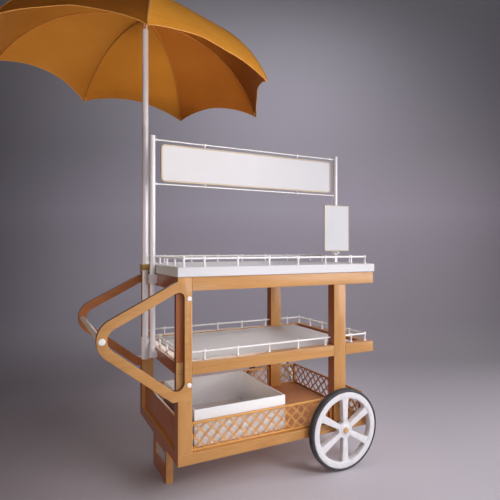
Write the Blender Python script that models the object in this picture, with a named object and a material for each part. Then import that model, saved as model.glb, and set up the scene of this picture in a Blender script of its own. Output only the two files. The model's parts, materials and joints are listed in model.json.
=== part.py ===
"""Push vending cart: a timber frame on two spoked wheels and one leg, with a counter, a shelf, a storage
bin, a sign on two poles, a price board and a tilting seven-rib umbrella.

Everything is modelled in the cart's own frame: x runs from the handle end (0) to the right, y from the
front face (0) to the back, z up from the ground. One empty then carries the whole cart, so that the world
origin is the middle of the leg's foot.
"""
import math

import bmesh
import bpy
from mathutils import Matrix, Vector

# Driving dimensions, in metres.
GAP = 0.0003                    # clearance between pieces that touch
PAST = 0.010                    # how far a cutter runs past the faces that it cuts
FRAME_LENGTH = 0.969            # top and middle frames
BASE_LENGTH = 0.924
FRAME_DEPTH = 0.630
BAR = 0.046                     # depth of every rail and post
BASE_Z = (0.1666, 0.2076)
MID_Z = (0.5118, 0.5599)
TOP_Z = (0.8376, 0.8918)
LEFT_POST_WIDTH = 0.057
RIGHT_POST_X = (0.7375, 0.8033)
LAP = 0.023                     # depth shared at a half-lapped joint
SLAB_Z = (0.8921, 0.9301)
SLAB_END_LAP = 0.003
SLAB_FRONT_LAP = 0.006

PLATE_THICK = 0.024             # handle plates, let into the left posts
PLATE_FOOT_Z = 0.416
HANDLE_ARM = 0.037
HANDLE_UPPER = ((-0.004, 0.873), math.radians(27.3))
HANDLE_LOWER = ((-0.022, PLATE_FOOT_Z), math.radians(-38.2))
HANDLE_FOOT_RADIUS = 0.006
HANDLE_TIP_RADIUS = 0.082
HANDLE_SLOT_X = 0.027           # right edge of the hand opening
HANDLE_SLOT_RADII = (0.022, 0.030)
HANDLE_BAR_X, HANDLE_BAR_Z = -0.278, 0.671
HANDLE_BAR_RADIUS = 0.011
HANDLE_CAP_RADIUS = 0.0125
CAP_THICK = 0.005               # caps on the handle bar and on the wheel hubs
BOLT_X = 0.045
BOLT_Z = (0.474, 0.808)
BOLT_RADIUS = 0.004
BOLT_HEAD_RADIUS = 0.0095
BOLT_HEAD_THICK = 0.004
BOLT_GRIP = 0.016               # length of shank in the post behind the plate

DECK_THICK = 0.018
DECK_Z = 0.520
BOARD_THICK = 0.018
BOARD_X = (0.055, 0.890)
BOARD_Y = (0.050, 0.580)
FLOOR_THICK = 0.012

FENCE_TOP = 0.321
FENCE_THICK = 0.012
FENCE_INSET = 0.017
FENCE_END_X = 0.905
FENCE_BORDER = (0.012, 0.018)   # lower and upper plain strips
LATTICE_PITCH = 0.050
LATTICE_STRAND = 0.012
END_PANEL_X = 0.014
END_PANEL_TOP = 0.330

BIN_LOW = (0.083, 0.0495)
BIN_HIGH = (0.507, 0.487)
BIN_TOP = 0.355
BIN_WALL = 0.008

LEG_X = (0.014, 0.045)
LEG_Y = (0.2075, 0.4225)
LEG_WINDOW_Y = (0.2275, 0.3725)
LEG_WINDOW_Z = (0.066, 0.124)
LEG_BOARD = 0.008               # the board with the window, on the handle side
LEG_SILL = 0.028                # height of the solid foot behind that board

WHEEL_X = 0.7704
WHEEL_Z = 0.1824
TYRE_RADIUS = 0.1824
RIM_RADIUS = 0.1700
RIM_INNER = 0.1430
HUB_RADIUS = 0.027
HUB_WINDOW_RADIUS = 0.043
SPOKES = 6
SPOKE_HALF = (0.011, 0.017)     # half width at the hub and at the rim
WHEEL_FACE_Y = 0.042            # distance of the wheel's outer face from the frame's face
WHEEL_THICK = 0.032
HUB_STAND_OFF = 0.0015          # between the hub's inner end and the frame
TYRE_THICK = 0.033
TYRE_SHOULDER = 0.007           # height of the side wall
TREAD_SHARE = 0.55              # flat part of the tread
AXLE_RADIUS = 0.010
AXLE_SET_BACK = 0.0005          # of the axle's end from the wheel's outer face
HUB_CAP_RADIUS = 0.0135

RAIL_POST_X = (0.032, 0.118, 0.265, 0.414, 0.560, 0.709, 0.858, 0.941)
RAIL_INSET_Y = 0.028
RAIL_END_POSTS = 4              # posts along an end row, between its corners
RAIL_HEIGHT = 0.033
RAIL_RADIUS = 0.004
RAIL_POST_RADIUS = 0.0036
RAIL_POST_TOP = 0.041
RAIL_OVERHANG = 0.002           # of a long rail past its corner posts
RAIL_CLEARANCE = 0.001          # of an end rail from the long rails' posts

MAST_X = -0.019
MAST_Y = 0.442
MAST_RADIUS = 0.0145
MAST_FOOT_Z = 0.493
FOOT_PLUG_THICK = 0.010         # plug in the socket, on which the mast turns
SOCKET_RADIUS = 0.0185
SOCKET_Z = (0.487, 0.587)
SOCKET_PLATE_THICK = 0.005
COLLAR_Z = (0.902, 0.929)
COLLAR_HALF = 0.0195
TILT_PIVOT_Z = 2.0419
MAST_TOP_DROP = 0.018           # of the round mast's top below the tilt pivot
TONGUE_HALF = 0.004
TONGUE_REACH = 0.009            # of the tongue to its sides and above the pivot
FORK_HALF = 0.0125
FORK_FOOT = 0.010               # of the fork's ears below the pivot
PIN_RADIUS = 0.003
PIN_HALF = 0.0145

CROWN_RISE = 0.045              # crown of the canopy above the tilt pivot, along its own axis
CROWN_HUB_DEPTH = (0.006, 0.018)
CROWN_HUB_RADIUS = 0.026
FINIAL_SPAN = (0.0006, 0.022)
FINIAL_RADIUS = 0.009
CANOPY_RADIUS = 0.6505
CANOPY_DROP = 0.3074
CANOPY_CURVE = (2.8, 0.855)     # exponents of the dome's profile
CANOPY_TILT = math.radians(7.8)
CANOPY_TILT_TOWARDS = math.radians(-38.8)
CANOPY_PHASE = math.radians(-99.76)
CANOPY_THICK = 0.004
RIBS = 7
HEM_RISE = 0.055                # how far the hem is cut in between two ribs, as a share of the radius
RIB_WIDTH = 0.005
RIB_DEPTH = (0.0084, 0.0122)
RIB_SPAN = (0.030, 0.960)       # shares of the radius where a rib starts and ends
GORE_STEPS = 10                 # rows of cloth from the crown to the hem
GORE_COLUMNS = 6                # columns of cloth between two ribs
GORE_DRAW = 0.85                # how nearly a gore is drawn to a straight line between its ribs
GORE_DRAW_RISE = 1.6            # how soon the drawing-in starts, from the crown outwards

SIGN_Y = 0.315
SIGN_POLE_X = (-0.017, 0.9855)
SIGN_POLE_RADIUS = 0.0125
SIGN_POLE_Z = (0.5222, 1.499)
SIGN_ROD_Z = (1.287, 1.489)
SIGN_ROD_RADIUS = 0.003
SIGN_PANEL_X = (0.020, 0.949)
SIGN_PANEL_Z = (1.301, 1.469)
SIGN_PANEL_THICK = 0.016
SIGN_CLIP_X = (0.2295, 0.7395)
SIGN_CLIP_RADIUS = 0.0045
SIGN_CLIP_PAST = 0.006          # how far a clip runs past its rod
BRACKET_HALF_Y = 0.018
BRACKET_WALL = 0.005            # of a bracket round its pole
BRACKET_UPPER_Z = (0.848, 0.888)
BRACKET_LOWER_Z = (0.5222, 0.5522)

PRICE_X = (0.893, 1.057)
PRICE_Z = (0.989, 1.234)
PRICE_Y = (0.2840, 0.2920)
COLLAR_RADIUS = 0.0190
PRICE_COLLAR_Z = (0.9720, 0.9885)
PRICE_SLEEVE_TOP = PRICE_COLLAR_Z[1] + 0.040
PRICE_WEB_HALF = 0.008
PRICE_WEB_INSET = 0.003         # how far the web runs into the board
THUMB_SCREW_RADIUS = 0.0045
THUMB_SCREW_SPAN = (0.0155, 0.0340)


def remove_everything():
    """Start from a scene with no objects."""
    for old in list(bpy.data.objects):
        bpy.data.objects.remove(old, do_unlink=True)


def make_material(name, colour, roughness, metallic=0.0):
    """A plain Principled material."""
    material = bpy.data.materials.new(name)
    material.use_nodes = True
    shader = material.node_tree.nodes["Principled BSDF"]
    shader.inputs["Base Color"].default_value = (*colour, 1.0)
    shader.inputs["Roughness"].default_value = roughness
    shader.inputs["Metallic"].default_value = metallic
    material.diffuse_color = (*colour, 1.0)
    return material


def make_empty(name, location, parent=None):
    """An empty at a place of the cart's frame: the cart itself, or the axis of a moving piece."""
    empty = bpy.data.objects.new(name, None)
    bpy.context.scene.collection.objects.link(empty)
    empty.location = location
    empty.parent = parent
    return empty


def make_object(name, bm, look, parent=None, smooth=False):
    """Turn a bmesh drawn in the cart's frame into a named object carried by the cart or by a pivot."""
    bmesh.ops.recalc_face_normals(bm, faces=bm.faces)
    mesh = bpy.data.meshes.new(name)
    corners = [vertex.co.copy() for vertex in bm.verts]
    low = Vector(min(corner[axis] for corner in corners) for axis in range(3))
    high = Vector(max(corner[axis] for corner in corners) for axis in range(3))
    anchor = parent.location.copy() if parent else Vector()
    centre = anchor if parent else (low + high) / 2
    bmesh.ops.translate(bm, verts=bm.verts, vec=-centre)
    bm.to_mesh(mesh)
    bm.free()
    obj = bpy.data.objects.new(name, mesh)
    bpy.context.scene.collection.objects.link(obj)
    obj.parent = parent or CART
    obj.location = centre - anchor
    if look:
        mesh.materials.append(look)
    if smooth:
        mesh.shade_smooth()
        mesh.set_sharp_from_angle(angle=math.radians(35))
    return obj


def add_box(bm, low, high, turn=None):
    """Add a closed box to a bmesh; turn is an optional matrix applied to its corners."""
    size = Vector(high) - Vector(low)
    middle = (Vector(high) + Vector(low)) / 2
    matrix = Matrix.Translation(middle) @ Matrix.Diagonal((*size, 1.0))
    bmesh.ops.create_cube(bm, size=1.0, matrix=(turn or Matrix()) @ matrix)


def add_cylinder(bm, start, end, radius, sides=16):
    """Add a closed cylinder between two points."""
    start, end = Vector(start), Vector(end)
    along = end - start
    turn = along.to_track_quat("Z", "Y").to_matrix().to_4x4()
    matrix = Matrix.Translation((start + end) / 2) @ turn
    bmesh.ops.create_cone(bm, cap_ends=True, segments=sides, radius1=radius, radius2=radius,
                          depth=along.length, matrix=matrix)


def add_prism(bm, outline, low, high, across):
    """Extrude an outline of (a, b) pairs from low to high along the axis named by across."""
    def place(pair, depth):
        a, b = pair
        return {"x": (depth, a, b), "y": (a, depth, b), "z": (a, b, depth)}[across]

    near = [bm.verts.new(place(pair, low)) for pair in outline]
    far = [bm.verts.new(place(pair, high)) for pair in outline]
    bm.faces.new(near)
    bm.faces.new(reversed(far))
    count = len(outline)
    for index in range(count):
        following = (index + 1) % count
        bm.faces.new((near[following], near[index], far[index], far[following]))


def add_turned(bm, profile, origin, steps=64):
    """Turn a closed profile of (radius, y) points about the y axis through origin."""
    rings = []
    for step in range(steps):
        angle = 2 * math.pi * step / steps
        ring = []
        for radius, depth in profile:
            offset = Vector((radius * math.cos(angle), depth, radius * math.sin(angle)))
            ring.append(bm.verts.new(Vector(origin) + offset))
        rings.append(ring)
    count = len(profile)
    for step in range(steps):
        here, after = rings[step], rings[(step + 1) % steps]
        for index in range(count):
            following = (index + 1) % count
            bm.faces.new((here[index], here[following], after[following], after[index]))


def box(name, low, high, look, parent=None):
    """A named box."""
    bm = bmesh.new()
    add_box(bm, low, high)
    return make_object(name, bm, look, parent)


def cylinder(name, start, end, radius, look, parent=None, sides=24):
    """A named cylinder between two points."""
    bm = bmesh.new()
    add_cylinder(bm, start, end, radius, sides)
    return make_object(name, bm, look, parent, smooth=True)


def tool(name, bm, parent=None):
    """A guide body used only to cut or to be joined: never part of the cart itself."""
    guide = make_object(name + "_tool", bm, None, parent)
    guide.hide_render = True
    guide.display_type = "WIRE"
    return guide


def combine(target, operand, operation):
    """Cut the operand out of the target, or join it to the target."""
    modifier = target.modifiers.new(operation.title() + "_" + operand.name, "BOOLEAN")
    modifier.operation = operation
    modifier.object = operand


def cut_boxes(target, boxes, parent=None):
    """Cut boxes that stay clear of each other out of a piece."""
    bm = bmesh.new()
    for low, high in boxes:
        add_box(bm, low, high)
    combine(target, tool(target.name, bm, parent), "DIFFERENCE")


def cut_rods(target, rods, parent=None):
    """Cut round holes, each (start, end, radius), out of a piece."""
    bm = bmesh.new()
    for start, end, radius in rods:
        add_cylinder(bm, start, end, radius)
    combine(target, tool(target.name + "_hole", bm, parent), "DIFFERENCE")


def mirrored(y_low, y_high, side):
    """A span of depth measured from the front face, or the same span from the back face."""
    if side == "front":
        return y_low, y_high
    return FRAME_DEPTH - y_high, FRAME_DEPTH - y_low


# Frame -------------------------------------------------------------------------------------------

def level_frame(name, length, z_span):
    """One rectangular ring of rails."""
    outer = ((0, 0), (length, 0), (length, FRAME_DEPTH), (0, FRAME_DEPTH))
    inner = ((BAR, BAR), (length - BAR, BAR), (length - BAR, FRAME_DEPTH - BAR), (BAR, FRAME_DEPTH - BAR))
    bm = bmesh.new()
    loops = [[bm.verts.new((x, y, z)) for x, y in loop] for z in z_span for loop in (outer, inner)]
    outer_low, inner_low, outer_high, inner_high = loops
    for index in range(4):
        following = (index + 1) % 4
        for first, second in ((outer_low, inner_low), (inner_low, inner_high),
                              (inner_high, outer_high), (outer_high, outer_low)):
            bm.faces.new((first[index], first[following], second[following], second[index]))
    return make_object(name, bm, TIMBER)


def frame_pockets(z_span, right_posts):
    """Pockets in a level frame for the handle plates and, half-lapped, for the right-hand posts."""
    low, high = z_span[0] - PAST, z_span[1] + PAST
    pockets = []
    for side in ("front", "back"):
        y0, y1 = mirrored(-PAST, PLATE_THICK + GAP, side)
        pockets.append(((-PAST, y0, low), (LEFT_POST_WIDTH + GAP, y1, high)))
        if right_posts:
            y0, y1 = mirrored(-PAST, LAP, side)
            pockets.append(((RIGHT_POST_X[0] - GAP, y0, low), (RIGHT_POST_X[1] + GAP, y1, high)))
    return pockets


def build_frames():
    base = level_frame("base_frame", BASE_LENGTH, BASE_Z)
    hole = AXLE_RADIUS + GAP
    cut_rods(base, [((WHEEL_X, -PAST, WHEEL_Z), (WHEEL_X, FRAME_DEPTH + PAST, WHEEL_Z), hole)])
    cut_boxes(level_frame("mid_frame", FRAME_LENGTH, MID_Z), frame_pockets(MID_Z, True))
    cut_boxes(level_frame("top_frame", FRAME_LENGTH, TOP_Z), frame_pockets(TOP_Z, False))


def build_posts():
    foot, head = BASE_Z[1] + GAP, TOP_Z[0] - GAP
    for side in ("front", "back"):
        y0, y1 = mirrored(0, BAR, side)
        post = box("post_right_" + side, (RIGHT_POST_X[0], y0, foot), (RIGHT_POST_X[1], y1, head), TIMBER)
        lap0, lap1 = mirrored(LAP - GAP, BAR + PAST, side)
        cut_boxes(post, [((RIGHT_POST_X[0] - PAST, lap0, MID_Z[0] - GAP),
                          (RIGHT_POST_X[1] + PAST, lap1, MID_Z[1] + GAP))])
        lower = box("post_left_" + side + "_lower", (0, y0, foot), (LEFT_POST_WIDTH, y1, MID_Z[0] - GAP),
                    TIMBER)
        pocket0, pocket1 = mirrored(-PAST, PLATE_THICK + GAP, side)
        cut_boxes(lower, [((-PAST, pocket0, PLATE_FOOT_Z - GAP),
                           (LEFT_POST_WIDTH + PAST, pocket1, MID_Z[0] + PAST))])
        core0, core1 = mirrored(PLATE_THICK + GAP, BAR, side)
        upper = box("post_left_" + side + "_upper", (0, core0, MID_Z[1] + GAP),
                    (LEFT_POST_WIDTH, core1, head), TIMBER)
        reach0, reach1 = mirrored(0, PLATE_THICK + BOLT_GRIP + 2 * GAP, side)
        for post_piece, height in ((lower, BOLT_Z[0]), (upper, BOLT_Z[1])):
            cut_rods(post_piece, [((BOLT_X, reach0, height), (BOLT_X, reach1, height), BOLT_RADIUS + GAP)])


# Handles -----------------------------------------------------------------------------------------

def line_at(line, x, inset=0.0):
    """Height at x of a slanted line given as ((x, z), angle), moved inwards by inset."""
    (x0, z0), angle = line
    return z0 + (x - x0) * math.tan(angle) + inset / math.cos(angle)


def crossing(upper_inset, lower_inset):
    """Where the upper and lower edges of the handle meet, each moved inwards."""
    (xu, zu), up = HANDLE_UPPER
    (xl, zl), low = HANDLE_LOWER
    zu -= upper_inset / math.cos(up)
    zl += lower_inset / math.cos(low)
    x = ((zl - xl * math.tan(low)) - (zu - xu * math.tan(up))) / (math.tan(up) - math.tan(low))
    return x, zu + (x - xu) * math.tan(up)


def rounded_outline(corners, steps=12):
    """Outline through (x, z, radius) corners, each rounded by an arc; a radius of 0 keeps it sharp."""
    points = []
    count = len(corners)
    for index, (x, z, radius) in enumerate(corners):
        here = Vector((x, z))
        if radius == 0:
            points.append((x, z))
            continue
        before = (Vector(corners[index - 1][:2]) - here).normalized()
        after = (Vector(corners[(index + 1) % count][:2]) - here).normalized()
        half = before.angle(after) / 2
        centre = here + (before + after).normalized() * (radius / math.sin(half))
        first = here + before * (radius / math.tan(half)) - centre
        turn = first.angle_signed(here + after * (radius / math.tan(half)) - centre)
        for step in range(steps + 1):
            angle = -turn * step / steps
            c, s = math.cos(angle), math.sin(angle)
            points.append((centre.x + first.x * c - first.y * s, centre.y + first.x * s + first.y * c))
    return points


def build_handles():
    tip = crossing(0, 0)
    inner_tip = crossing(HANDLE_ARM, HANDLE_ARM)
    outer = [(LEFT_POST_WIDTH, TOP_Z[1], 0), (0, TOP_Z[1], 0), (0, line_at(HANDLE_UPPER, 0), 0),
             (*tip, HANDLE_TIP_RADIUS), (*HANDLE_LOWER[0], HANDLE_FOOT_RADIUS),
             (LEFT_POST_WIDTH, PLATE_FOOT_Z, 0)]
    upper_radius, lower_radius = HANDLE_SLOT_RADII
    slot = [(HANDLE_SLOT_X, line_at(HANDLE_UPPER, HANDLE_SLOT_X, -HANDLE_ARM), upper_radius),
            (*inner_tip, HANDLE_TIP_RADIUS - HANDLE_ARM),
            (HANDLE_SLOT_X, line_at(HANDLE_LOWER, HANDLE_SLOT_X, HANDLE_ARM), lower_radius)]
    for side in ("front", "back"):
        y0, y1 = mirrored(0, PLATE_THICK, side)
        bm = bmesh.new()
        add_prism(bm, rounded_outline(outer), y0, y1, "y")
        plate = make_object("handle_plate_" + side, bm, TIMBER)
        bm = bmesh.new()
        add_prism(bm, rounded_outline(slot), y0 - PAST, y1 + PAST, "y")
        combine(plate, tool(plate.name, bm), "DIFFERENCE")
        cut_rods(plate, [((BOLT_X, y0 - PAST, z), (BOLT_X, y1 + PAST, z), BOLT_RADIUS + GAP)
                         for z in BOLT_Z])
        out = -1 if side == "front" else 1
        face = y0 if side == "front" else y1
        cylinder("handle_cap_" + side, (HANDLE_BAR_X, face + out * GAP, HANDLE_BAR_Z),
                 (HANDLE_BAR_X, face + out * (GAP + CAP_THICK), HANDLE_BAR_Z), HANDLE_CAP_RADIUS, ENAMEL)
        for level, height in zip(("lower", "upper"), BOLT_Z):
            head = bmesh.new()
            add_cylinder(head, (BOLT_X, face + out * GAP, height),
                         (BOLT_X, face + out * (GAP + BOLT_HEAD_THICK), height), BOLT_HEAD_RADIUS, 20)
            shank = bmesh.new()
            add_cylinder(shank, (BOLT_X, face + out * BOLT_HEAD_THICK / 2, height),
                         (BOLT_X, face - out * (PLATE_THICK + BOLT_GRIP), height), BOLT_RADIUS, 12)
            bolt = make_object("handle_bolt_" + side + "_" + level, head, ENAMEL, smooth=True)
            combine(bolt, tool(bolt.name, shank), "UNION")
    cylinder("handle_bar", (HANDLE_BAR_X, PLATE_THICK + GAP, HANDLE_BAR_Z),
             (HANDLE_BAR_X, FRAME_DEPTH - PLATE_THICK - GAP, HANDLE_BAR_Z), HANDLE_BAR_RADIUS, STEEL)


# Panels, shelf and bin ---------------------------------------------------------------------------

def build_panels():
    edge = BAR + GAP
    box("counter_slab", (-SLAB_END_LAP, -SLAB_FRONT_LAP, SLAB_Z[0]),
        (FRAME_LENGTH + SLAB_END_LAP, FRAME_DEPTH + SLAB_FRONT_LAP, SLAB_Z[1]), WHITE)
    box("shelf_deck", (edge, edge, DECK_Z), (FRAME_LENGTH - edge, FRAME_DEPTH - edge, DECK_Z + DECK_THICK),
        TIMBER)
    board_z = DECK_Z + DECK_THICK + GAP
    box("shelf_board", (BOARD_X[0], BOARD_Y[0], board_z), (BOARD_X[1], BOARD_Y[1], board_z + BOARD_THICK),
        WHITE, BOARD_PIVOT)
    box("base_floor", (edge, edge, BASE_Z[1] - FLOOR_THICK), (BASE_LENGTH - edge, FRAME_DEPTH - edge,
        BASE_Z[1]), TIMBER)
    box("left_end_panel", (END_PANEL_X, edge, BASE_Z[1] + GAP),
        (END_PANEL_X + FENCE_THICK, FRAME_DEPTH - edge, END_PANEL_TOP), TIMBER)


def build_bin():
    floor_z = BASE_Z[1] + GAP
    bin_box = box("storage_bin", (*BIN_LOW, floor_z), (*BIN_HIGH, BIN_TOP), WHITE, BIN_PIVOT)
    inside_low = (BIN_LOW[0] + BIN_WALL, BIN_LOW[1] + BIN_WALL, floor_z + BIN_WALL)
    inside_high = (BIN_HIGH[0] - BIN_WALL, BIN_HIGH[1] - BIN_WALL, BIN_TOP + PAST)
    cut_boxes(bin_box, [(inside_low, inside_high)], BIN_PIVOT)


def diamond_centres(start, end):
    """Centres of the whole diamonds that fit between start and end, in staggered rows."""
    low, high = BASE_Z[1] + FENCE_BORDER[0], FENCE_TOP - FENCE_BORDER[1]
    half = LATTICE_PITCH / 2
    reach = half - LATTICE_STRAND / math.sqrt(2) / 2
    columns = int((end - start) / half) - 1
    first = (start + end) / 2 - (columns - 1) * half / 2
    rows = int((high - low) / half) - 1
    bottom = (low + high) / 2 - (rows - 1) * half / 2
    for column in range(columns):
        for row in range(rows):
            if (column + row) % 2 == 0:
                yield first + column * half, bottom + row * half, reach


def add_diamonds(bm, start, end, low, high, across):
    """Add the diamonds between start and end as prisms from low to high."""
    for a, b, reach in diamond_centres(start, end):
        add_prism(bm, ((a - reach, b), (a, b - reach), (a + reach, b), (a, b + reach)), low, high, across)


def build_fences():
    foot = BASE_Z[1] + GAP
    long_start, long_end = LEFT_POST_WIDTH + GAP, RIGHT_POST_X[0] - GAP
    for side in ("front", "back"):
        y0, y1 = mirrored(FENCE_INSET, FENCE_INSET + FENCE_THICK, side)
        fence = box("lattice_" + side, (long_start, y0, foot), (long_end, y1, FENCE_TOP), TIMBER)
        bm = bmesh.new()
        add_diamonds(bm, long_start, long_end, y0 - PAST, y1 + PAST, "y")
        combine(fence, tool(fence.name, bm), "DIFFERENCE")
    low_y, high_y = FENCE_INSET, FRAME_DEPTH - FENCE_INSET
    right = box("lattice_right", (RIGHT_POST_X[1] + GAP, low_y, foot),
                (FENCE_END_X + FENCE_THICK, high_y, FENCE_TOP), TIMBER)
    inner = bmesh.new()
    add_box(inner, (RIGHT_POST_X[1] - PAST, low_y + FENCE_THICK, foot - PAST),
            (FENCE_END_X, high_y - FENCE_THICK, FENCE_TOP + PAST))
    combine(right, tool("lattice_right_inside", inner), "DIFFERENCE")
    bm = bmesh.new()
    add_diamonds(bm, low_y + FENCE_THICK, high_y - FENCE_THICK, FENCE_END_X - PAST,
                 FENCE_END_X + FENCE_THICK + PAST, "x")
    combine(right, tool("lattice_right_diamonds", bm), "DIFFERENCE")


def build_leg():
    """The leg: a thin board with a window, on a solid foot, stiffened by an upright along its front."""
    leg = box("leg", (LEG_X[0], LEG_Y[0], 0), (LEG_X[1], LEG_Y[1], BASE_Z[0] - GAP), TIMBER)
    cut_boxes(leg, [((LEG_X[0] + LEG_BOARD, LEG_WINDOW_Y[0], LEG_SILL),
                     (LEG_X[1] + PAST, LEG_Y[1] + PAST, BASE_Z[0] + PAST))])
    cut_boxes(leg, [((LEG_X[0] - PAST, LEG_WINDOW_Y[0] + GAP, LEG_WINDOW_Z[0]),
                     (LEG_X[1] + PAST, LEG_WINDOW_Y[1], LEG_WINDOW_Z[1]))])


# Wheels ------------------------------------------------------------------------------------------

def spoke_half_width(radius):
    """Half width of a spoke at a distance from the wheel's centre."""
    share = (radius - HUB_RADIUS) / (RIM_INNER - HUB_RADIUS)
    return SPOKE_HALF[0] + (SPOKE_HALF[1] - SPOKE_HALF[0]) * share


def window_outline(index, steps=5):
    """Outline of the opening between two spokes, from the hub out to the rim and back."""
    first = math.pi / 2 + index * 2 * math.pi / SPOKES
    last = first + 2 * math.pi / SPOKES
    inset_rim = math.asin(spoke_half_width(RIM_INNER) / RIM_INNER)
    inset_hub = math.asin(spoke_half_width(HUB_WINDOW_RADIUS) / HUB_WINDOW_RADIUS)
    polar = []
    for step in range(steps + 1):
        share = step / steps
        polar.append((RIM_INNER, first + inset_rim + (last - first - 2 * inset_rim) * share))
    for step in range(3):
        share = step / 2
        polar.append((HUB_WINDOW_RADIUS, last - inset_hub - (last - first - 2 * inset_hub) * share))
    return [(WHEEL_X + r * math.cos(a), WHEEL_Z + r * math.sin(a)) for r, a in polar]


def build_wheel(side, pivot):
    out = -1 if side == "front" else 1
    face = 0.0 if side == "front" else FRAME_DEPTH

    def depth(distance):
        return face + out * distance

    centre = (WHEEL_X, 0, WHEEL_Z)
    inner_face = WHEEL_FACE_Y - WHEEL_THICK
    bore = AXLE_RADIUS + GAP
    profile = [(bore, depth(WHEEL_FACE_Y)), (RIM_RADIUS, depth(WHEEL_FACE_Y)),
               (RIM_RADIUS, depth(inner_face)), (HUB_RADIUS, depth(inner_face)),
               (HUB_RADIUS, depth(HUB_STAND_OFF)), (bore, depth(HUB_STAND_OFF))]
    bm = bmesh.new()
    add_turned(bm, profile, centre)
    wheel = make_object("wheel_" + side, bm, ENAMEL, pivot, smooth=True)
    windows = bmesh.new()
    for index in range(SPOKES):
        add_prism(windows, window_outline(index), depth(inner_face - PAST / 2),
                  depth(WHEEL_FACE_Y + PAST / 2), "y")
    combine(wheel, tool(wheel.name, windows, pivot), "DIFFERENCE")

    middle = WHEEL_FACE_Y - WHEEL_THICK / 2
    half = TYRE_THICK / 2
    flat, shoulder = half * TREAD_SHARE, RIM_RADIUS + TYRE_SHOULDER
    tread = [(RIM_RADIUS + GAP, half), (shoulder, half), (TYRE_RADIUS, flat),
             (TYRE_RADIUS, -flat), (shoulder, -half), (RIM_RADIUS + GAP, -half)]
    bm = bmesh.new()
    add_turned(bm, [(radius, depth(middle + shift)) for radius, shift in tread], centre)
    make_object("tyre_" + side, bm, RUBBER, pivot, smooth=True)
    cylinder("hub_cap_" + side, (WHEEL_X, depth(WHEEL_FACE_Y + GAP), WHEEL_Z),
             (WHEEL_X, depth(WHEEL_FACE_Y + GAP + CAP_THICK), WHEEL_Z), HUB_CAP_RADIUS, BRASS, pivot)


def build_running_gear():
    reach = WHEEL_FACE_Y - AXLE_SET_BACK
    cylinder("axle", (WHEEL_X, -reach, WHEEL_Z), (WHEEL_X, FRAME_DEPTH + reach, WHEEL_Z), AXLE_RADIUS, STEEL,
             sides=16)
    build_wheel("front", FRONT_WHEEL_PIVOT)
    build_wheel("back", BACK_WHEEL_PIVOT)
    build_leg()


# Gallery rails -----------------------------------------------------------------------------------

def gallery_row(name, runs, posts, floor_z):
    """A rail on posts: straight runs of ((x, y), (x, y)) at rail height, and upright posts at (x, y)."""
    rail_z = floor_z + RAIL_HEIGHT
    bm = bmesh.new()
    first, *others = runs
    add_cylinder(bm, (*first[0], rail_z), (*first[1], rail_z), RAIL_RADIUS, 8)
    row = make_object(name, bm, ENAMEL, smooth=True)
    for index, (start, end) in enumerate(others):
        run = bmesh.new()
        add_cylinder(run, (*start, rail_z), (*end, rail_z), RAIL_RADIUS, 8)
        combine(row, tool(name + "_run" + str(index), run), "UNION")
    uprights = bmesh.new()
    for x, y in posts:
        add_cylinder(uprights, (x, y, floor_z + GAP), (x, y, floor_z + RAIL_POST_TOP), RAIL_POST_RADIUS, 8)
    combine(row, tool(name + "_posts", uprights), "UNION")


def build_galleries():
    near, far = RAIL_INSET_Y, FRAME_DEPTH - RAIL_INSET_Y
    left, right = RAIL_POST_X[0], RAIL_POST_X[-1]
    step = (far - near) / (RAIL_END_POSTS + 1)
    end_y = [near + step * (index + 1) for index in range(RAIL_END_POSTS)]
    clear = RAIL_POST_RADIUS + RAIL_CLEARANCE
    counter_z, shelf_z = SLAB_Z[1], MID_Z[1]
    for side, y in (("front", near), ("back", far)):
        gallery_row("counter_rail_" + side, [((left - RAIL_OVERHANG, y), (right + RAIL_OVERHANG, y))],
                    [(x, y) for x in RAIL_POST_X], counter_z)
        gallery_row("shelf_rail_" + side, [((LEFT_POST_WIDTH + GAP, y), (RIGHT_POST_X[0] - GAP, y))],
                    [(x, y) for x in RAIL_POST_X[1:-2]], shelf_z)
    for side, x in (("left", left), ("right", right)):
        gallery_row("counter_rail_" + side, [((x, near + clear), (x, far - clear))],
                    [(x, y) for y in end_y], counter_z)
    gallery_row("shelf_rail_left", [((left, BAR + GAP), (left, FRAME_DEPTH - BAR - GAP))],
                [(left, y) for y in end_y], shelf_z)
    corner = RIGHT_POST_X[1] + GAP
    returns = [(RAIL_POST_X[-2], near), (right, near), (right, far), (RAIL_POST_X[-2], far)]
    gallery_row("shelf_rail_right", [((right, near), (right, far)), ((corner, near), (right, near)),
                                     ((corner, far), (right, far))],
                returns + [(right, y) for y in end_y], shelf_z)


# Sign and price board ----------------------------------------------------------------------------

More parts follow.
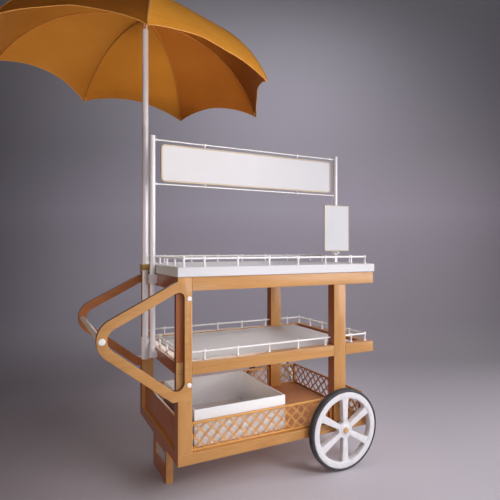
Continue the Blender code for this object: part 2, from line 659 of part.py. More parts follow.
def build_sign():
    for side, x in zip(("left", "right"), SIGN_POLE_X):
        cylinder("sign_pole_" + side, (x, SIGN_Y, SIGN_POLE_Z[0]), (x, SIGN_Y, SIGN_POLE_Z[1]),
                 SIGN_POLE_RADIUS, STEEL, sides=20)
        inner = -GAP if side == "left" else FRAME_LENGTH + GAP
        outer = x + (-1 if side == "left" else 1) * (SIGN_POLE_RADIUS + BRACKET_WALL)
        low_x, high_x = sorted((inner, outer))
        levels = [("upper", BRACKET_UPPER_Z)]
        if side == "right":
            levels.append(("lower", BRACKET_LOWER_Z))
        for level, (z0, z1) in levels:
            bracket = box("sign_bracket_" + side + "_" + level, (low_x, SIGN_Y - BRACKET_HALF_Y, z0),
                          (high_x, SIGN_Y + BRACKET_HALF_Y, z1), STEEL)
            cut_rods(bracket, [((x, SIGN_Y, z0 - PAST), (x, SIGN_Y, z1 + PAST), SIGN_POLE_RADIUS + GAP)])
    start, end = SIGN_POLE_X[0] + SIGN_POLE_RADIUS + GAP, SIGN_POLE_X[1] - SIGN_POLE_RADIUS - GAP
    half = SIGN_PANEL_THICK / 2
    box("sign_panel", (SIGN_PANEL_X[0], SIGN_Y - half, SIGN_PANEL_Z[0]),
        (SIGN_PANEL_X[1], SIGN_Y + half, SIGN_PANEL_Z[1]), WHITE)
    for level, rod_z, edge_z in (("lower", SIGN_ROD_Z[0], SIGN_PANEL_Z[0] - GAP),
                                 ("upper", SIGN_ROD_Z[1], SIGN_PANEL_Z[1] + GAP)):
        rod = cylinder("sign_rod_" + level, (start, SIGN_Y, rod_z), (end, SIGN_Y, rod_z), SIGN_ROD_RADIUS,
                       ENAMEL, sides=8)
        past = rod_z + (SIGN_CLIP_PAST if level == "upper" else -SIGN_CLIP_PAST)
        clips = bmesh.new()
        for x in SIGN_CLIP_X:
            add_cylinder(clips, (x, SIGN_Y, edge_z), (x, SIGN_Y, past), SIGN_CLIP_RADIUS, 8)
        combine(rod, tool(rod.name, clips), "UNION")


def build_price_board():
    """A blank board that turns on the right-hand pole, on a collar with a thumb screw below it."""
    x = SIGN_POLE_X[1]
    board = box("price_board", (PRICE_X[0], PRICE_Y[0], PRICE_Z[0]), (PRICE_X[1], PRICE_Y[1], PRICE_Z[1]),
                WHITE, PRICE_PIVOT)
    sleeve_low = PRICE_COLLAR_Z[1] + GAP
    sleeve = bmesh.new()
    add_cylinder(sleeve, (x, SIGN_Y, sleeve_low), (x, SIGN_Y, PRICE_SLEEVE_TOP), COLLAR_RADIUS, 24)
    combine(board, tool("price_sleeve", sleeve, PRICE_PIVOT), "UNION")
    web = bmesh.new()
    add_box(web, (x - PRICE_WEB_HALF, PRICE_Y[1] - PRICE_WEB_INSET, PRICE_Z[0] + PRICE_WEB_INSET),
            (x + PRICE_WEB_HALF, SIGN_Y, PRICE_SLEEVE_TOP - PRICE_WEB_INSET))
    combine(board, tool("price_web", web, PRICE_PIVOT), "UNION")
    hole = SIGN_POLE_RADIUS + GAP
    cut_rods(board, [((x, SIGN_Y, sleeve_low - PAST), (x, SIGN_Y, PRICE_SLEEVE_TOP + PAST), hole)],
             PRICE_PIVOT)
    z0, z1 = PRICE_COLLAR_Z
    collar = cylinder("price_collar", (x, SIGN_Y, z0), (x, SIGN_Y, z1), COLLAR_RADIUS, ENAMEL, PRICE_PIVOT)
    near, far = THUMB_SCREW_SPAN
    height = (z0 + z1) / 2
    screw = bmesh.new()
    add_cylinder(screw, (x, SIGN_Y - near, height), (x, SIGN_Y - far, height), THUMB_SCREW_RADIUS, 12)
    combine(collar, tool("price_screw", screw, PRICE_PIVOT), "UNION")
    cut_rods(collar, [((x, SIGN_Y, z0 - PAST), (x, SIGN_Y, z1 + PAST), hole)], PRICE_PIVOT)


# Umbrella ----------------------------------------------------------------------------------------

def canopy_axes():
    """The canopy's own axes: down the tilt, along the tilt hinge, and up through the crown."""
    tilt, towards = CANOPY_TILT, CANOPY_TILT_TOWARDS
    down = Vector((math.cos(towards) * math.cos(tilt), math.sin(towards) * math.cos(tilt), -math.sin(tilt)))
    up = Vector((math.cos(towards) * math.sin(tilt), math.sin(towards) * math.sin(tilt), math.cos(tilt)))
    return down, up.cross(down), up


def dome_drop(share):
    """How far the dome has dropped below the crown at a share of its radius."""
    first, second = CANOPY_CURVE
    return CANOPY_DROP * (1 - (1 - min(share, 1.0) ** first) ** second)


def gore_station(step):
    """Share of the radius at each row of the cloth, closer together towards the hem."""
    return (step / GORE_STEPS) ** 0.8


def dome_point(angle, share, depth=0.0, squeeze=1.0):
    """A point of the dome at an angle and a share of its radius, sunk inwards by depth.

    The dome's profile is turned about the canopy's axis; squeeze pulls a gore in between its ribs."""
    down, hinge, up = canopy_axes()
    small = 0.002
    before, after = max(share - small, 0.0), min(share + small, 1.0)
    run = (after - before) * CANOPY_RADIUS
    fall = dome_drop(after) - dome_drop(before)
    length = math.hypot(run, fall)
    radius = CANOPY_RADIUS * share * squeeze - depth * fall / length
    drop = dome_drop(share) + depth * run / length
    turn = angle - CANOPY_TILT_TOWARDS
    crown = TILT_PIVOT + up * CROWN_RISE
    return crown + down * (radius * math.cos(turn)) + hinge * (radius * math.sin(turn)) - up * drop


def build_mast():
    """The mast with its tongue, the plug it stands on, its socket on the frame and its collar."""
    top = TILT_PIVOT_Z - MAST_TOP_DROP
    foot = MAST_FOOT_Z + FOOT_PLUG_THICK + GAP
    mast = cylinder("mast", (MAST_X, MAST_Y, foot), (MAST_X, MAST_Y, top), MAST_RADIUS, STEEL, MAST_PIVOT)
    turn = Matrix.Translation((MAST_X, MAST_Y, 0)) @ Matrix.Rotation(CANOPY_TILT_TOWARDS, 4, "Z")
    tongue = bmesh.new()
    add_box(tongue, (-TONGUE_REACH, -TONGUE_HALF, top - PAST),
            (TONGUE_REACH, TONGUE_HALF, TILT_PIVOT_Z + TONGUE_REACH), turn)
    combine(mast, tool("mast_tongue", tongue, MAST_PIVOT), "UNION")
    reach = canopy_axes()[1] * (TONGUE_HALF + PAST)
    cut_rods(mast, [(TILT_PIVOT - reach, TILT_PIVOT + reach, PIN_RADIUS + GAP)], MAST_PIVOT)
    cylinder("mast_foot", (MAST_X, MAST_Y, MAST_FOOT_Z), (MAST_X, MAST_Y, MAST_FOOT_Z + FOOT_PLUG_THICK),
             MAST_RADIUS, RUBBER, MAST_PIVOT, sides=20)
    socket = cylinder("mast_socket", (MAST_X, MAST_Y, SOCKET_Z[0]), (MAST_X, MAST_Y, SOCKET_Z[1]),
                      SOCKET_RADIUS, STEEL)
    plate = bmesh.new()
    add_box(plate, (-SOCKET_PLATE_THICK, SIGN_Y - BRACKET_HALF_Y, BRACKET_LOWER_Z[0]),
            (-GAP, MAST_Y + SOCKET_RADIUS, BRACKET_LOWER_Z[1]))
    combine(socket, tool("mast_socket_plate", plate), "UNION")
    holder = bmesh.new()
    add_box(holder, (SIGN_POLE_X[0] - SIGN_POLE_RADIUS - BRACKET_WALL, SIGN_Y - BRACKET_HALF_Y,
            BRACKET_LOWER_Z[0]), (-SOCKET_PLATE_THICK / 2, SIGN_Y + BRACKET_HALF_Y, BRACKET_LOWER_Z[1]))
    combine(socket, tool("mast_socket_holder", holder), "UNION")
    cut_rods(socket, [((MAST_X, MAST_Y, MAST_FOOT_Z - GAP), (MAST_X, MAST_Y, SOCKET_Z[1] + PAST),
                       MAST_RADIUS + GAP),
                      ((SIGN_POLE_X[0], SIGN_Y, BRACKET_LOWER_Z[0] - PAST),
                       (SIGN_POLE_X[0], SIGN_Y, BRACKET_LOWER_Z[1] + PAST), SIGN_POLE_RADIUS + GAP)])
    collar = box("mast_collar", (MAST_X - COLLAR_HALF, MAST_Y - COLLAR_HALF, COLLAR_Z[0]),
                 (-SLAB_END_LAP - GAP, MAST_Y + COLLAR_HALF, COLLAR_Z[1]), BRASS)
    cut_rods(collar, [((MAST_X, MAST_Y, COLLAR_Z[0] - PAST), (MAST_X, MAST_Y, COLLAR_Z[1] + PAST),
                       MAST_RADIUS + GAP)])


def build_ribs():
    """Crown hub with its tilt fork and pin, and the seven ribs riveted to it."""
    down, hinge, up = canopy_axes()
    crown = TILT_PIVOT + up * CROWN_RISE
    shallow, deep = CROWN_HUB_DEPTH
    bm = bmesh.new()
    add_cylinder(bm, crown - up * deep, crown - up * shallow, CROWN_HUB_RADIUS, 24)
    frame = make_object("rib_frame", bm, STEEL, TILT_PIVOT_EMPTY, smooth=True)
    turn = Matrix((down, hinge, up)).transposed().to_4x4()
    turn.translation = TILT_PIVOT
    ears = bmesh.new()
    for side in (-1, 1):
        low, high = sorted((side * (TONGUE_HALF + 2 * GAP), side * FORK_HALF))
        add_box(ears, (-TONGUE_REACH, low, -FORK_FOOT),
                (TONGUE_REACH, high, CROWN_RISE - (shallow + deep) / 2), turn)
    combine(frame, tool("rib_frame_ears", ears, TILT_PIVOT_EMPTY), "UNION")
    pin = bmesh.new()
    add_cylinder(pin, TILT_PIVOT - hinge * PIN_HALF, TILT_PIVOT + hinge * PIN_HALF, PIN_RADIUS, 12)
    combine(frame, tool("rib_frame_pin", pin, TILT_PIVOT_EMPTY), "UNION")
    ribs = bmesh.new()
    shares = [RIB_SPAN[0]] + [gore_station(step) for step in range(1, GORE_STEPS)] + [RIB_SPAN[1]]
    for index in range(RIBS):
        angle = CANOPY_PHASE + index * 2 * math.pi / RIBS
        bearing = angle - CANOPY_TILT_TOWARDS
        across = hinge * math.cos(bearing) - down * math.sin(bearing)
        rings = []
        for share in shares:
            outer = dome_point(angle, share, RIB_DEPTH[0])
            inner = dome_point(angle, share, RIB_DEPTH[1])
            half = across * RIB_WIDTH / 2
            section = (outer - half, outer + half, inner + half, inner - half)
            rings.append([ribs.verts.new(corner) for corner in section])
        for here, after in zip(rings, rings[1:]):
            for corner in range(4):
                following = (corner + 1) % 4
                ribs.faces.new((here[corner], here[following], after[following], after[corner]))
        ribs.faces.new(rings[0])
        ribs.faces.new(reversed(rings[-1]))
    combine(frame, tool("rib_frame_ribs", ribs, TILT_PIVOT_EMPTY), "UNION")


def build_canopy():
    """The cloth dome as a thin closed shell: gores drawn in between the ribs, with a scalloped hem."""
    half = math.pi / RIBS
    bm = bmesh.new()
    skins = []
    for depth in (0.0, CANOPY_THICK):
        pole = bm.verts.new(dome_point(0, 0, depth))
        spokes = []
        for index in range(RIBS * GORE_COLUMNS):
            angle = CANOPY_PHASE + index * 2 * half / GORE_COLUMNS
            off = (index % GORE_COLUMNS) / GORE_COLUMNS * 2 - 1
            straight = math.cos(half) / math.cos(off * half)
            hem = 1 - HEM_RISE * (1 - off * off)
            column = []
            for step in range(1, GORE_STEPS + 1):
                share = hem * gore_station(step)
                squeeze = 1 + (straight - 1) * GORE_DRAW * min(1.0, share * GORE_DRAW_RISE)
                column.append(bm.verts.new(dome_point(angle, share, depth, squeeze)))
            spokes.append(column)
        for index, column in enumerate(spokes):
            following = spokes[(index + 1) % len(spokes)]
            bm.faces.new((pole, column[0], following[0]))
            for step in range(GORE_STEPS - 1):
                bm.faces.new((column[step], column[step + 1], following[step + 1], following[step]))
        skins.append(spokes)
    outer, inner = skins
    for index in range(len(outer)):
        following = (index + 1) % len(outer)
        bm.faces.new((outer[index][-1], inner[index][-1], inner[following][-1], outer[following][-1]))
    make_object("canopy", bm, CLOTH, TILT_PIVOT_EMPTY, smooth=True)
    up = canopy_axes()[2]
    crown = TILT_PIVOT + up * CROWN_RISE
    cylinder("finial", crown + up * FINIAL_SPAN[0], crown + up * FINIAL_SPAN[1], FINIAL_RADIUS, STEEL,
             TILT_PIVOT_EMPTY, sides=16)


remove_everything()

TIMBER = make_material("timber", (0.62, 0.33, 0.13), 0.5)
WHITE = make_material("white_panel", (0.82, 0.80, 0.80), 0.45)
ENAMEL = make_material("white_enamel", (0.86, 0.86, 0.88), 0.35)
STEEL = make_material("pole_steel", (0.66, 0.66, 0.70), 0.35, 0.6)
BRASS = make_material("brass", (0.55, 0.36, 0.12), 0.4, 0.5)
RUBBER = make_material("tyre_rubber", (0.05, 0.05, 0.06), 0.8)
CLOTH = make_material("canopy_cloth", (0.60, 0.28, 0.06), 0.85)

FOOT_CENTRE = Vector((sum(LEG_X) / 2, sum(LEG_Y) / 2, 0))
TILT_PIVOT = Vector((MAST_X, MAST_Y, TILT_PIVOT_Z))

CART = make_empty("cart", -FOOT_CENTRE)
FRONT_WHEEL_PIVOT = make_empty("wheel_front_axis", (WHEEL_X, 0, WHEEL_Z), CART)
BACK_WHEEL_PIVOT = make_empty("wheel_back_axis", (WHEEL_X, FRAME_DEPTH, WHEEL_Z), CART)
MAST_PIVOT = make_empty("mast_axis", (MAST_X, MAST_Y, MAST_FOOT_Z), CART)
TILT_PIVOT_EMPTY = make_empty("tilt_axis", TILT_PIVOT, CART)
PRICE_PIVOT = make_empty("price_board_axis", (SIGN_POLE_X[1], SIGN_Y, PRICE_COLLAR_Z[0]), CART)
BIN_PIVOT = make_empty("bin_axis", (BIN_LOW[0], BIN_LOW[1], BASE_Z[1]), CART)
BOARD_PIVOT = make_empty("shelf_board_axis", (BOARD_X[0], BOARD_Y[0], DECK_Z + DECK_THICK), CART)

build_frames()
build_posts()
build_handles()
build_panels()
build_bin()
build_fences()
build_running_gear()
build_galleries()
build_sign()
build_price_board()
build_mast()
build_ribs()
build_canopy()
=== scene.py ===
"""Looks of the push vending cart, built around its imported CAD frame."""
import json
import math

import bmesh
import bpy
from mathutils import Matrix, Vector


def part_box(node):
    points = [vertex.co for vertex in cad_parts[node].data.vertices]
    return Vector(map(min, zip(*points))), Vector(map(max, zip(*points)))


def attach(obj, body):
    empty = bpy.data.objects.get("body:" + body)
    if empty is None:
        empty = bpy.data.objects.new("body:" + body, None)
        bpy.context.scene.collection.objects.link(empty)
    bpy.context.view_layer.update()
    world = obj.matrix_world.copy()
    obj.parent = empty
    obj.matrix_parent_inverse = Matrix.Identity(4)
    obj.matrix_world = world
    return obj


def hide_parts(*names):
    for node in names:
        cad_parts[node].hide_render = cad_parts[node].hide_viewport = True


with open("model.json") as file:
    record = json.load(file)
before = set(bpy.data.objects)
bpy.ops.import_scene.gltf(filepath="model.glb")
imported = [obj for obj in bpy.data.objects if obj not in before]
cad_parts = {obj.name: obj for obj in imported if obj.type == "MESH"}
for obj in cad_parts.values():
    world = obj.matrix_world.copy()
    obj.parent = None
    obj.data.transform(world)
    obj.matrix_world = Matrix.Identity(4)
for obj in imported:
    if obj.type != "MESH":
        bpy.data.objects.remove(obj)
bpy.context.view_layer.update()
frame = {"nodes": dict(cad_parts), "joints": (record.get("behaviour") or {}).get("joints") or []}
NODES = frame["nodes"]
JOINTS = {joint["name"]: joint for joint in frame["joints"]}
TAU = 2 * math.pi
GAP = 0.0003  # between a new piece and the solid that it sits on
OUTWARD = {"front": -1, "back": 1}  # the way that each long side of the cart faces, along y


# Materials

def feed(tree, value, socket):
    """Give an input a number, a vector or a colour, or wire it to an output."""
    if isinstance(value, (int, float)):
        socket.default_value = value
    elif isinstance(value, tuple):
        socket.default_value = (*value, 1.0) if socket.type == "RGBA" else value
    else:
        tree.links.new(value, socket)


def outputs_of(tree, kind, inputs, **settings):
    """The outputs of a new node with these inputs and settings."""
    made = tree.nodes.new("ShaderNode" + kind)
    for key, value in settings.items():
        setattr(made, key, value)
    for key, value in inputs.items():
        feed(tree, value, made.inputs[key])
    return made.outputs


class Surface:
    """A Principled material and short ways to wire its nodes."""

    def __init__(self, name, **constants):
        self.material = bpy.data.materials.new(name)
        self.material.use_nodes = True
        self.tree = self.material.node_tree
        self.shader = self.tree.nodes["Principled BSDF"]
        for socket, value in constants.items():
            self.shader.inputs[socket.replace("_", " ")].default_value = value
        self.place = self.coordinates("Object")

    def node(self, kind, inputs, **settings):
        return outputs_of(self.tree, kind, inputs, **settings)

    def coordinates(self, kind):
        return self.node("TexCoord", {})[kind]

    def noise(self, scale, detail=3.0, distortion=0.0, source=None):
        """Noise over the place in metres, or over another source, with one scale or one for each axis."""
        scale = scale if isinstance(scale, tuple) else (scale, scale, scale)
        vector = self.node("Mapping", {"Scale": scale, "Vector": source or self.place})["Vector"]
        return self.node("TexNoise", {"Scale": 1.0, "Detail": detail, "Distortion": distortion,
                                      "Vector": vector})["Fac"]

    def ramp(self, factor, *stops, kind="LINEAR"):
        made = self.node("ValToRGB", {"Fac": factor})["Color"]
        scale = made.node.color_ramp
        scale.interpolation = kind
        while len(scale.elements) < len(stops):
            scale.elements.new(0.5)
        for element, (position, colour) in zip(scale.elements, stops):
            element.position = position
            element.color = (*colour, 1.0)
        return made

    def math(self, operation, first, second=0.0):
        return self.node("Math", {0: first, 1: second}, operation=operation)["Value"]

    def times(self, first, second):
        return self.math("MULTIPLY", first, second)

    def plus(self, first, second):
        return self.math("ADD", first, second)

    def mix(self, factor, first, second, blend="MIX"):
        return self.node("Mix", {0: factor, 6: first, 7: second}, data_type="RGBA", blend_type=blend)[2]

    def tinted(self, colour, tint):
        return self.mix(1.0, colour, tint, "MULTIPLY")

    def span(self, factor, low, high):
        return self.node("MapRange", {"Value": factor, "To Min": low, "To Max": high})["Result"]

    def parts(self, vector):
        """The X, Y and Z outputs of a vector."""
        return self.node("SeparateXYZ", {"Vector": vector})

    def dot(self, vector, other):
        return self.node("VectorMath", {0: vector, 1: other}, operation="DOT_PRODUCT")["Value"]

    def finished(self, colour, roughness, height, strength, distance):
        """The material with this colour and roughness, and with a bump of this height."""
        normal = self.node("Bump", {"Strength": strength, "Distance": distance, "Height": height})["Normal"]
        for socket, source in (("Base Color", colour), ("Roughness", roughness), ("Normal", normal)):
            feed(self.tree, source, self.shader.inputs[socket])
        return self.material

    def edges(self, radius):
        """0 on flat faces, rising to 1 on the edges."""
        rounded = self.node("Bevel", {"Radius": radius}, samples=4)["Normal"]
        flatness = self.dot(rounded, self.node("NewGeometry", {})["Normal"])
        return self.times(self.math("SUBTRACT", 1.0, flatness), 3.0)


def dimmed(colour, share):
    return tuple(channel * share for channel in colour)


TIMBER_LIGHT, TIMBER_MID, TIMBER_DARK = (0.575, 0.29, 0.088), (0.505, 0.232, 0.06), (0.385, 0.148, 0.03)
# Second line: painted shade for faces along x, painted shade for handle plate rims, and an edge colour that is
# partly wear, partly painted highlight
TIMBER_X_FACE_SHADE, TIMBER_RIM_SHADE, TIMBER_WEAR_AND_HIGHLIGHT = (0.24, 0.036, 0.004), (0.13, 0.035, 0.012), (0.74, 0.44, 0.22)
# how strongly the painted shade is laid on
PAINTED_SHADE_STRENGTH = 0.8
GRAIN_ALONG, GRAIN_ACROSS = 1.6, 26.0  # noise cells in a metre
PORES = 9  # times finer than the grain


def grain(look, axis):
    """Streaks of grain along an axis, and the fine pores in them."""
    scale = tuple(GRAIN_ALONG if letter == axis else GRAIN_ACROSS for letter in "xyz")
    return look.noise(scale, 5.0, 0.9), look.noise(dimmed(scale, PORES), 2.0)


def timber(name, axis, dark_rim=False, tint=(1.0, 1.0, 1.0)):
    """Satin timber under woodstain, its grain along an axis, or round a level ring of rails.

    Faces that face along x get a painted shade; with dark_rim, the edges of a plate that faces y get it
    instead. Edges are lighter, partly wear and partly a painted highlight."""
    look = Surface(name, Specular_IOR_Level=0.34, Coat_Weight=0.75, Coat_Roughness=0.24)
    if axis == "ring":
        on_end = look.math("LESS_THAN", look.math("ABSOLUTE", look.parts(look.place)["Y"]), RING_INNER)
        on_side = look.math("SUBTRACT", 1.0, on_end)
        streaks, pores = (look.plus(look.times(end, on_end), look.times(side, on_side))
                          for end, side in zip(grain(look, "y"), grain(look, "x")))
    else:
        streaks, pores = grain(look, axis)
    base = look.ramp(streaks, (0.3, TIMBER_MID), (0.52, TIMBER_LIGHT), (0.72, TIMBER_MID))
    base = look.mix(look.span(look.noise(2.2, 2.0), 0.0, 0.25), base, TIMBER_DARK)
    pits = look.ramp(pores, (0.3, (0.8, 0.76, 0.72)), (0.46, (1.0, 1.0, 1.0)))
    base = look.mix(0.55, base, pits, "MULTIPLY")
    # lighter edges: partly wear, partly a painted highlight
    base = look.mix(look.edges(0.0022), base, TIMBER_WEAR_AND_HIGHLIGHT)
    facing = look.parts(look.coordinates("Normal"))
    if dark_rim:
        # painted shade on the rims of a plate that faces y
        painted_shade = TIMBER_RIM_SHADE
        shaded_faces = look.math("LESS_THAN", look.math("ABSOLUTE", facing["Y"]), 0.35)
    else:
        # painted shade on every face that faces along x
        painted_shade = TIMBER_X_FACE_SHADE
        shaded_faces = look.math("GREATER_THAN", look.math("ABSOLUTE", facing["X"]), 0.7)
    base = look.mix(look.times(shaded_faces, PAINTED_SHADE_STRENGTH), base, painted_shade)
    height = look.plus(streaks, look.times(pores, 0.6))
    return look.finished(look.tinted(base, tint), look.span(streaks, 0.44, 0.64), height, 0.22, 0.0006)


def laminate(name, tint, speckle=0.05):
    """White laminate: faint mottling, fine speckle and scuffed edges."""
    look = Surface(name, Specular_IOR_Level=0.3)
    base = look.ramp(look.noise(3.0, 4.0, 0.4), (0.35, dimmed(tint, 1 - speckle)), (0.62, tint))
    fleck = look.noise(900.0, 1.0)
    base = look.mix(look.span(fleck, 0.0, 0.06), base, (0.45, 0.43, 0.42))
    base = look.mix(look.times(look.edges(0.0018), 0.5), base, (0.7, 0.66, 0.62))
    scuffs = look.noise((14, 40, 14), 6.0, 0.6)
    return look.finished(base, look.span(scuffs, 0.42, 0.66), fleck, 0.1, 0.0002)


def enamel(name, tint, roughness):
    """Sprayed enamel: orange-peel bump, a little grime in its hollows."""
    look = Surface(name, Coat_Weight=0.25, Coat_Roughness=0.15)
    grime = look.noise(35.0, 5.0, 0.5)
    base = look.ramp(grime, (0.28, dimmed(tint, 0.88)), (0.55, tint))
    gloss = look.span(grime, roughness + 0.14, roughness - 0.04)
    return look.finished(base, gloss, look.noise(420.0, 2.0), 0.12, 0.0003)


def brushed(name, tint, metallic, axis="z", roughness=0.36):
    """Pale metal drawn along an axis."""
    look = Surface(name, Metallic=metallic)
    lines = look.noise(tuple(4.0 if letter == axis else 700.0 for letter in "xyz"), 3.0)
    base = look.ramp(look.noise((6, 6, 3), 4.0), (0.3, dimmed(tint, 0.86)), (0.65, tint))
    base = look.mix(look.span(lines, 0.0, 0.18), base, dimmed(tint, 0.7))
    return look.finished(base, look.span(lines, roughness - 0.08, roughness + 0.12), lines, 0.1, 0.0002)


def rubber(name):
    """Dark rubber with pale dust on it."""
    look = Surface(name)
    dust = look.noise(28.0, 6.0, 0.3)
    base = look.ramp(dust, (0.32, (0.03, 0.03, 0.038)), (0.66, (0.075, 0.073, 0.08)))
    return look.finished(base, look.span(dust, 0.62, 0.9), look.noise(300.0, 3.0), 0.25, 0.0004)


# Painted light and shade of each gore, lighter for some and darker for others as light falls on them, the
# gores counted from the front right one.
GORE_SHADES = ((1.06, 1.1, 0.95), (0.84, 0.64, 0.6), (1.0, 0.8, 0.86), (1.06, 1.02, 0.95),
             (0.9, 0.87, 0.96), (0.88, 0.84, 0.9), (0.66, 0.52, 0.4))
THREAD_SCALE = 260.0
SLUB_SCALE = (9, 130, 1)
GLOW_TINT, GLOW_SHARE = (1.0, 0.8, 0.55), 0.14  # of the light that the cloth lets through


def canvas(name, light, dark):
    """Woven cloth with its threads along each gore's length and width, from a UV map in metres.

    The whole number in the map's U is the gore, which picks its painted tint, lighter for some gores and
    darker for others."""
    look = Surface(name, Specular_IOR_Level=0.15)
    own = look.coordinates("UV")
    thread = {"Scale": THREAD_SCALE, "Distortion": 0.6, "Detail Scale": 2.0, "Vector": own}
    threads = [look.node("TexWave", thread, bands_direction=way, wave_profile="SIN")["Fac"] for way in "XY"]
    weave = look.math("MAXIMUM", *threads)
    slub = look.noise(SLUB_SCALE, 3.0, source=own)
    base = look.ramp(look.noise(4.0, 4.0, 0.3), (0.28, dark), (0.7, light))
    base = look.mix(look.span(slub, 0.0, 0.22), base, dimmed(dark, 0.6))
    base = look.mix(look.span(weave, 0.14, 0.0), base, dimmed(dark, 0.5))
    count = len(GORE_SHADES)
    gore = look.math("FLOOR", look.plus(look.parts(own)["X"], 0.5))
    share = look.math("DIVIDE", look.plus(gore, 0.5), count)
    gore_shades = look.ramp(share, *((index / count, gore_shade) for index, gore_shade in enumerate(GORE_SHADES)), kind="CONSTANT")
    # each gore tinted lighter or darker by its painted light and shade
    base = look.tinted(base, gore_shades)
    glow = look.node("BsdfTranslucent", {"Color": look.tinted(base, GLOW_TINT)})["BSDF"]
    cloth = look.node("MixShader", {0: GLOW_SHARE, 1: look.shader.outputs["BSDF"], 2: glow})["Shader"]
    feed(look.tree, cloth, look.tree.nodes["Material Output"].inputs["Surface"])
    height = look.plus(weave, look.times(slub, 0.7))
    return look.finished(base, look.span(weave, 0.95, 0.72), height, 0.35, 0.0005)


# Mesh tools

def middle(node):
    """The middle of a node's box."""
    return [(a + b) / 2 for a, b in zip(*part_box(node))]


def seen_from(node, out):
    """From the front (out -1) or the back (out 1): a node's x, z and radius, its nearest and farthest y."""
    low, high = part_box(node)
    near, far = (low[1], high[1])[::-out]
    return (low[0] + high[0]) / 2, (low[2] + high[2]) / 2, (high[0] - low[0]) / 2, near, far


def aim(direction):
    """Rotation that turns +Z to a direction."""
    return Vector(direction).to_track_quat("Z", "Y").to_matrix()


def mm(*points):
    """Points of a profile, from millimetres."""
    return [(radius / 1000, height / 1000) for radius, height in points]


def mirrored(half, length):
    """A profile that ends as it starts."""
    return half + [(radius, length - height) for radius, height in reversed(half)]


def scaled(radius, height, *shares):
    """Points of a profile, from shares of its radius and height."""
    return [(radius * across, height * up) for across, up in shares]


def add_object(name, data):
    made = bpy.data.objects.new(name, data)
    bpy.context.scene.collection.objects.link(made)
    return made


def add_mesh(name, bm, *materials):
    """An object from a bmesh, shaded smooth."""
    mesh = bpy.data.meshes.new(name)
    bm.to_mesh(mesh)
    bm.free()
    for material in materials:
        mesh.materials.append(material)
    mesh.shade_smooth()
    return add_object(name, mesh)


def finish_piece(name, bm, material, body="cart_body", smooth_angle=35.0):
    """Turn a bmesh in the frame of the model into a piece that rides on a body."""
    bmesh.ops.remove_doubles(bm, verts=bm.verts, dist=1e-6)
    bmesh.ops.recalc_face_normals(bm, faces=bm.faces)
    piece = add_mesh(name, bm, *(material if isinstance(material, tuple) else (material,)))
    piece.data.set_sharp_from_angle(angle=math.radians(smooth_angle))
    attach(piece, body)
    return piece


TURNS = {"x": Matrix.Rotation(math.pi / 2, 3, "Y"), "y": Matrix.Rotation(-math.pi / 2, 3, "X"),
         "z": Matrix.Identity(3)}


def lathe(bm, profile, origin, axis="z", steps=24, slot=0):
    """Turn a profile of (radius, height) about an axis through origin; ends at radius 0 close it.

    The axis is a letter, or a rotation of +Z. A profile that doesn't start at radius 0 closes on itself."""
    origin = Vector(origin)
    turn = TURNS[axis] if isinstance(axis, str) else axis
    rings = []
    for radius, height in profile:
        angles = [TAU * s / steps for s in range(steps if radius else 1)]
        spots = [Vector((radius * math.cos(a), radius * math.sin(a), height)) for a in angles]
        rings.append([bm.verts.new(origin + turn @ spot) for spot in spots])
    following = rings[1:] + rings[:1] if len(rings[0]) > 1 else rings[1:]
    for here, after in zip(rings, following):
        for s in range(steps):
            t = (s + 1) % steps
            corners = [here[s % len(here)], here[t % len(here)], after[t % len(after)], after[s % len(after)]]
            unique = list(dict.fromkeys(corners))
            if len(unique) > 2:
                bm.faces.new(unique).material_index = slot


def rod(bm, start, end, radius, sides=14, slot=0):
    """A round rod from start to end with rounded rims."""
    start, end = Vector(start), Vector(end)
    length = (end - start).length
    bend, steps = radius * 0.35, 4
    rim = [(radius - bend + bend * math.sin(a), bend - bend * math.cos(a))
           for a in (math.pi / 2 * s / steps for s in range(steps + 1))]
    lathe(bm, mirrored([(0, 0)] + rim, length), start, aim(end - start), sides, slot)


def skin(bm, rings):
    """A closed bar through rings that have as many points each."""
    for here, after in zip(rings, rings[1:]):
        for index in range(len(here)):
            following = (index + 1) % len(here)
            bm.faces.new((here[index], here[following], after[following], after[index]))
    bm.faces.new(rings[0])
    bm.faces.new(rings[-1][::-1])


def strip_section(width, thick, cut_width, cut_thick):
    """Section of a flat strip with its corners cut."""
    w, t = width / 2, thick / 2
    w_in, t_in = w - cut_width, t - cut_thick
    return [(-w, -t_in), (-w_in, -t), (w_in, -t), (w, -t_in), (w, t_in), (w_in, t), (-w_in, t), (-w, t_in)]


def strip_along(bm, points, outward, width, thick):
    """A closed flat strip that follows points, lying across the outward directions."""
    section = strip_section(width, thick, width * 0.1, thick * 0.3)
    rings = []
    for index, point in enumerate(points):
        before, after = points[max(index - 1, 0)], points[min(index + 1, len(points) - 1)]
        out = outward[index].normalized()
        side = (after - before).normalized().cross(out).normalized()
        rings.append([bm.verts.new(point + side * w + out * t) for w, t in section])
    skin(bm, rings)


def add_part(bm, part, slot=0):
    """Copy a finished closed part into a bmesh."""
    copies = {vertex: bm.verts.new(vertex.co) for vertex in part.verts}
    for face in part.faces:
        bm.faces.new([copies[vertex] for vertex in face.verts]).material_index = slot
    part.free()


def rounded_box(bm, low, high, radius, slot=0):
    """A closed box with every edge rounded."""
    part = bmesh.new()
    size, centre = Vector(high) - Vector(low), (Vector(high) + Vector(low)) / 2
    bmesh.ops.create_cube(part, size=1.0, matrix=Matrix.Translation(centre) @ Matrix.Diagonal((*size, 1.0)))
    bmesh.ops.bevel(part, geom=part.edges[:], offset=min(radius, min(size) * 0.45), segments=3,
                    affect="EDGES", profile=0.5)
    add_part(bm, part, slot)


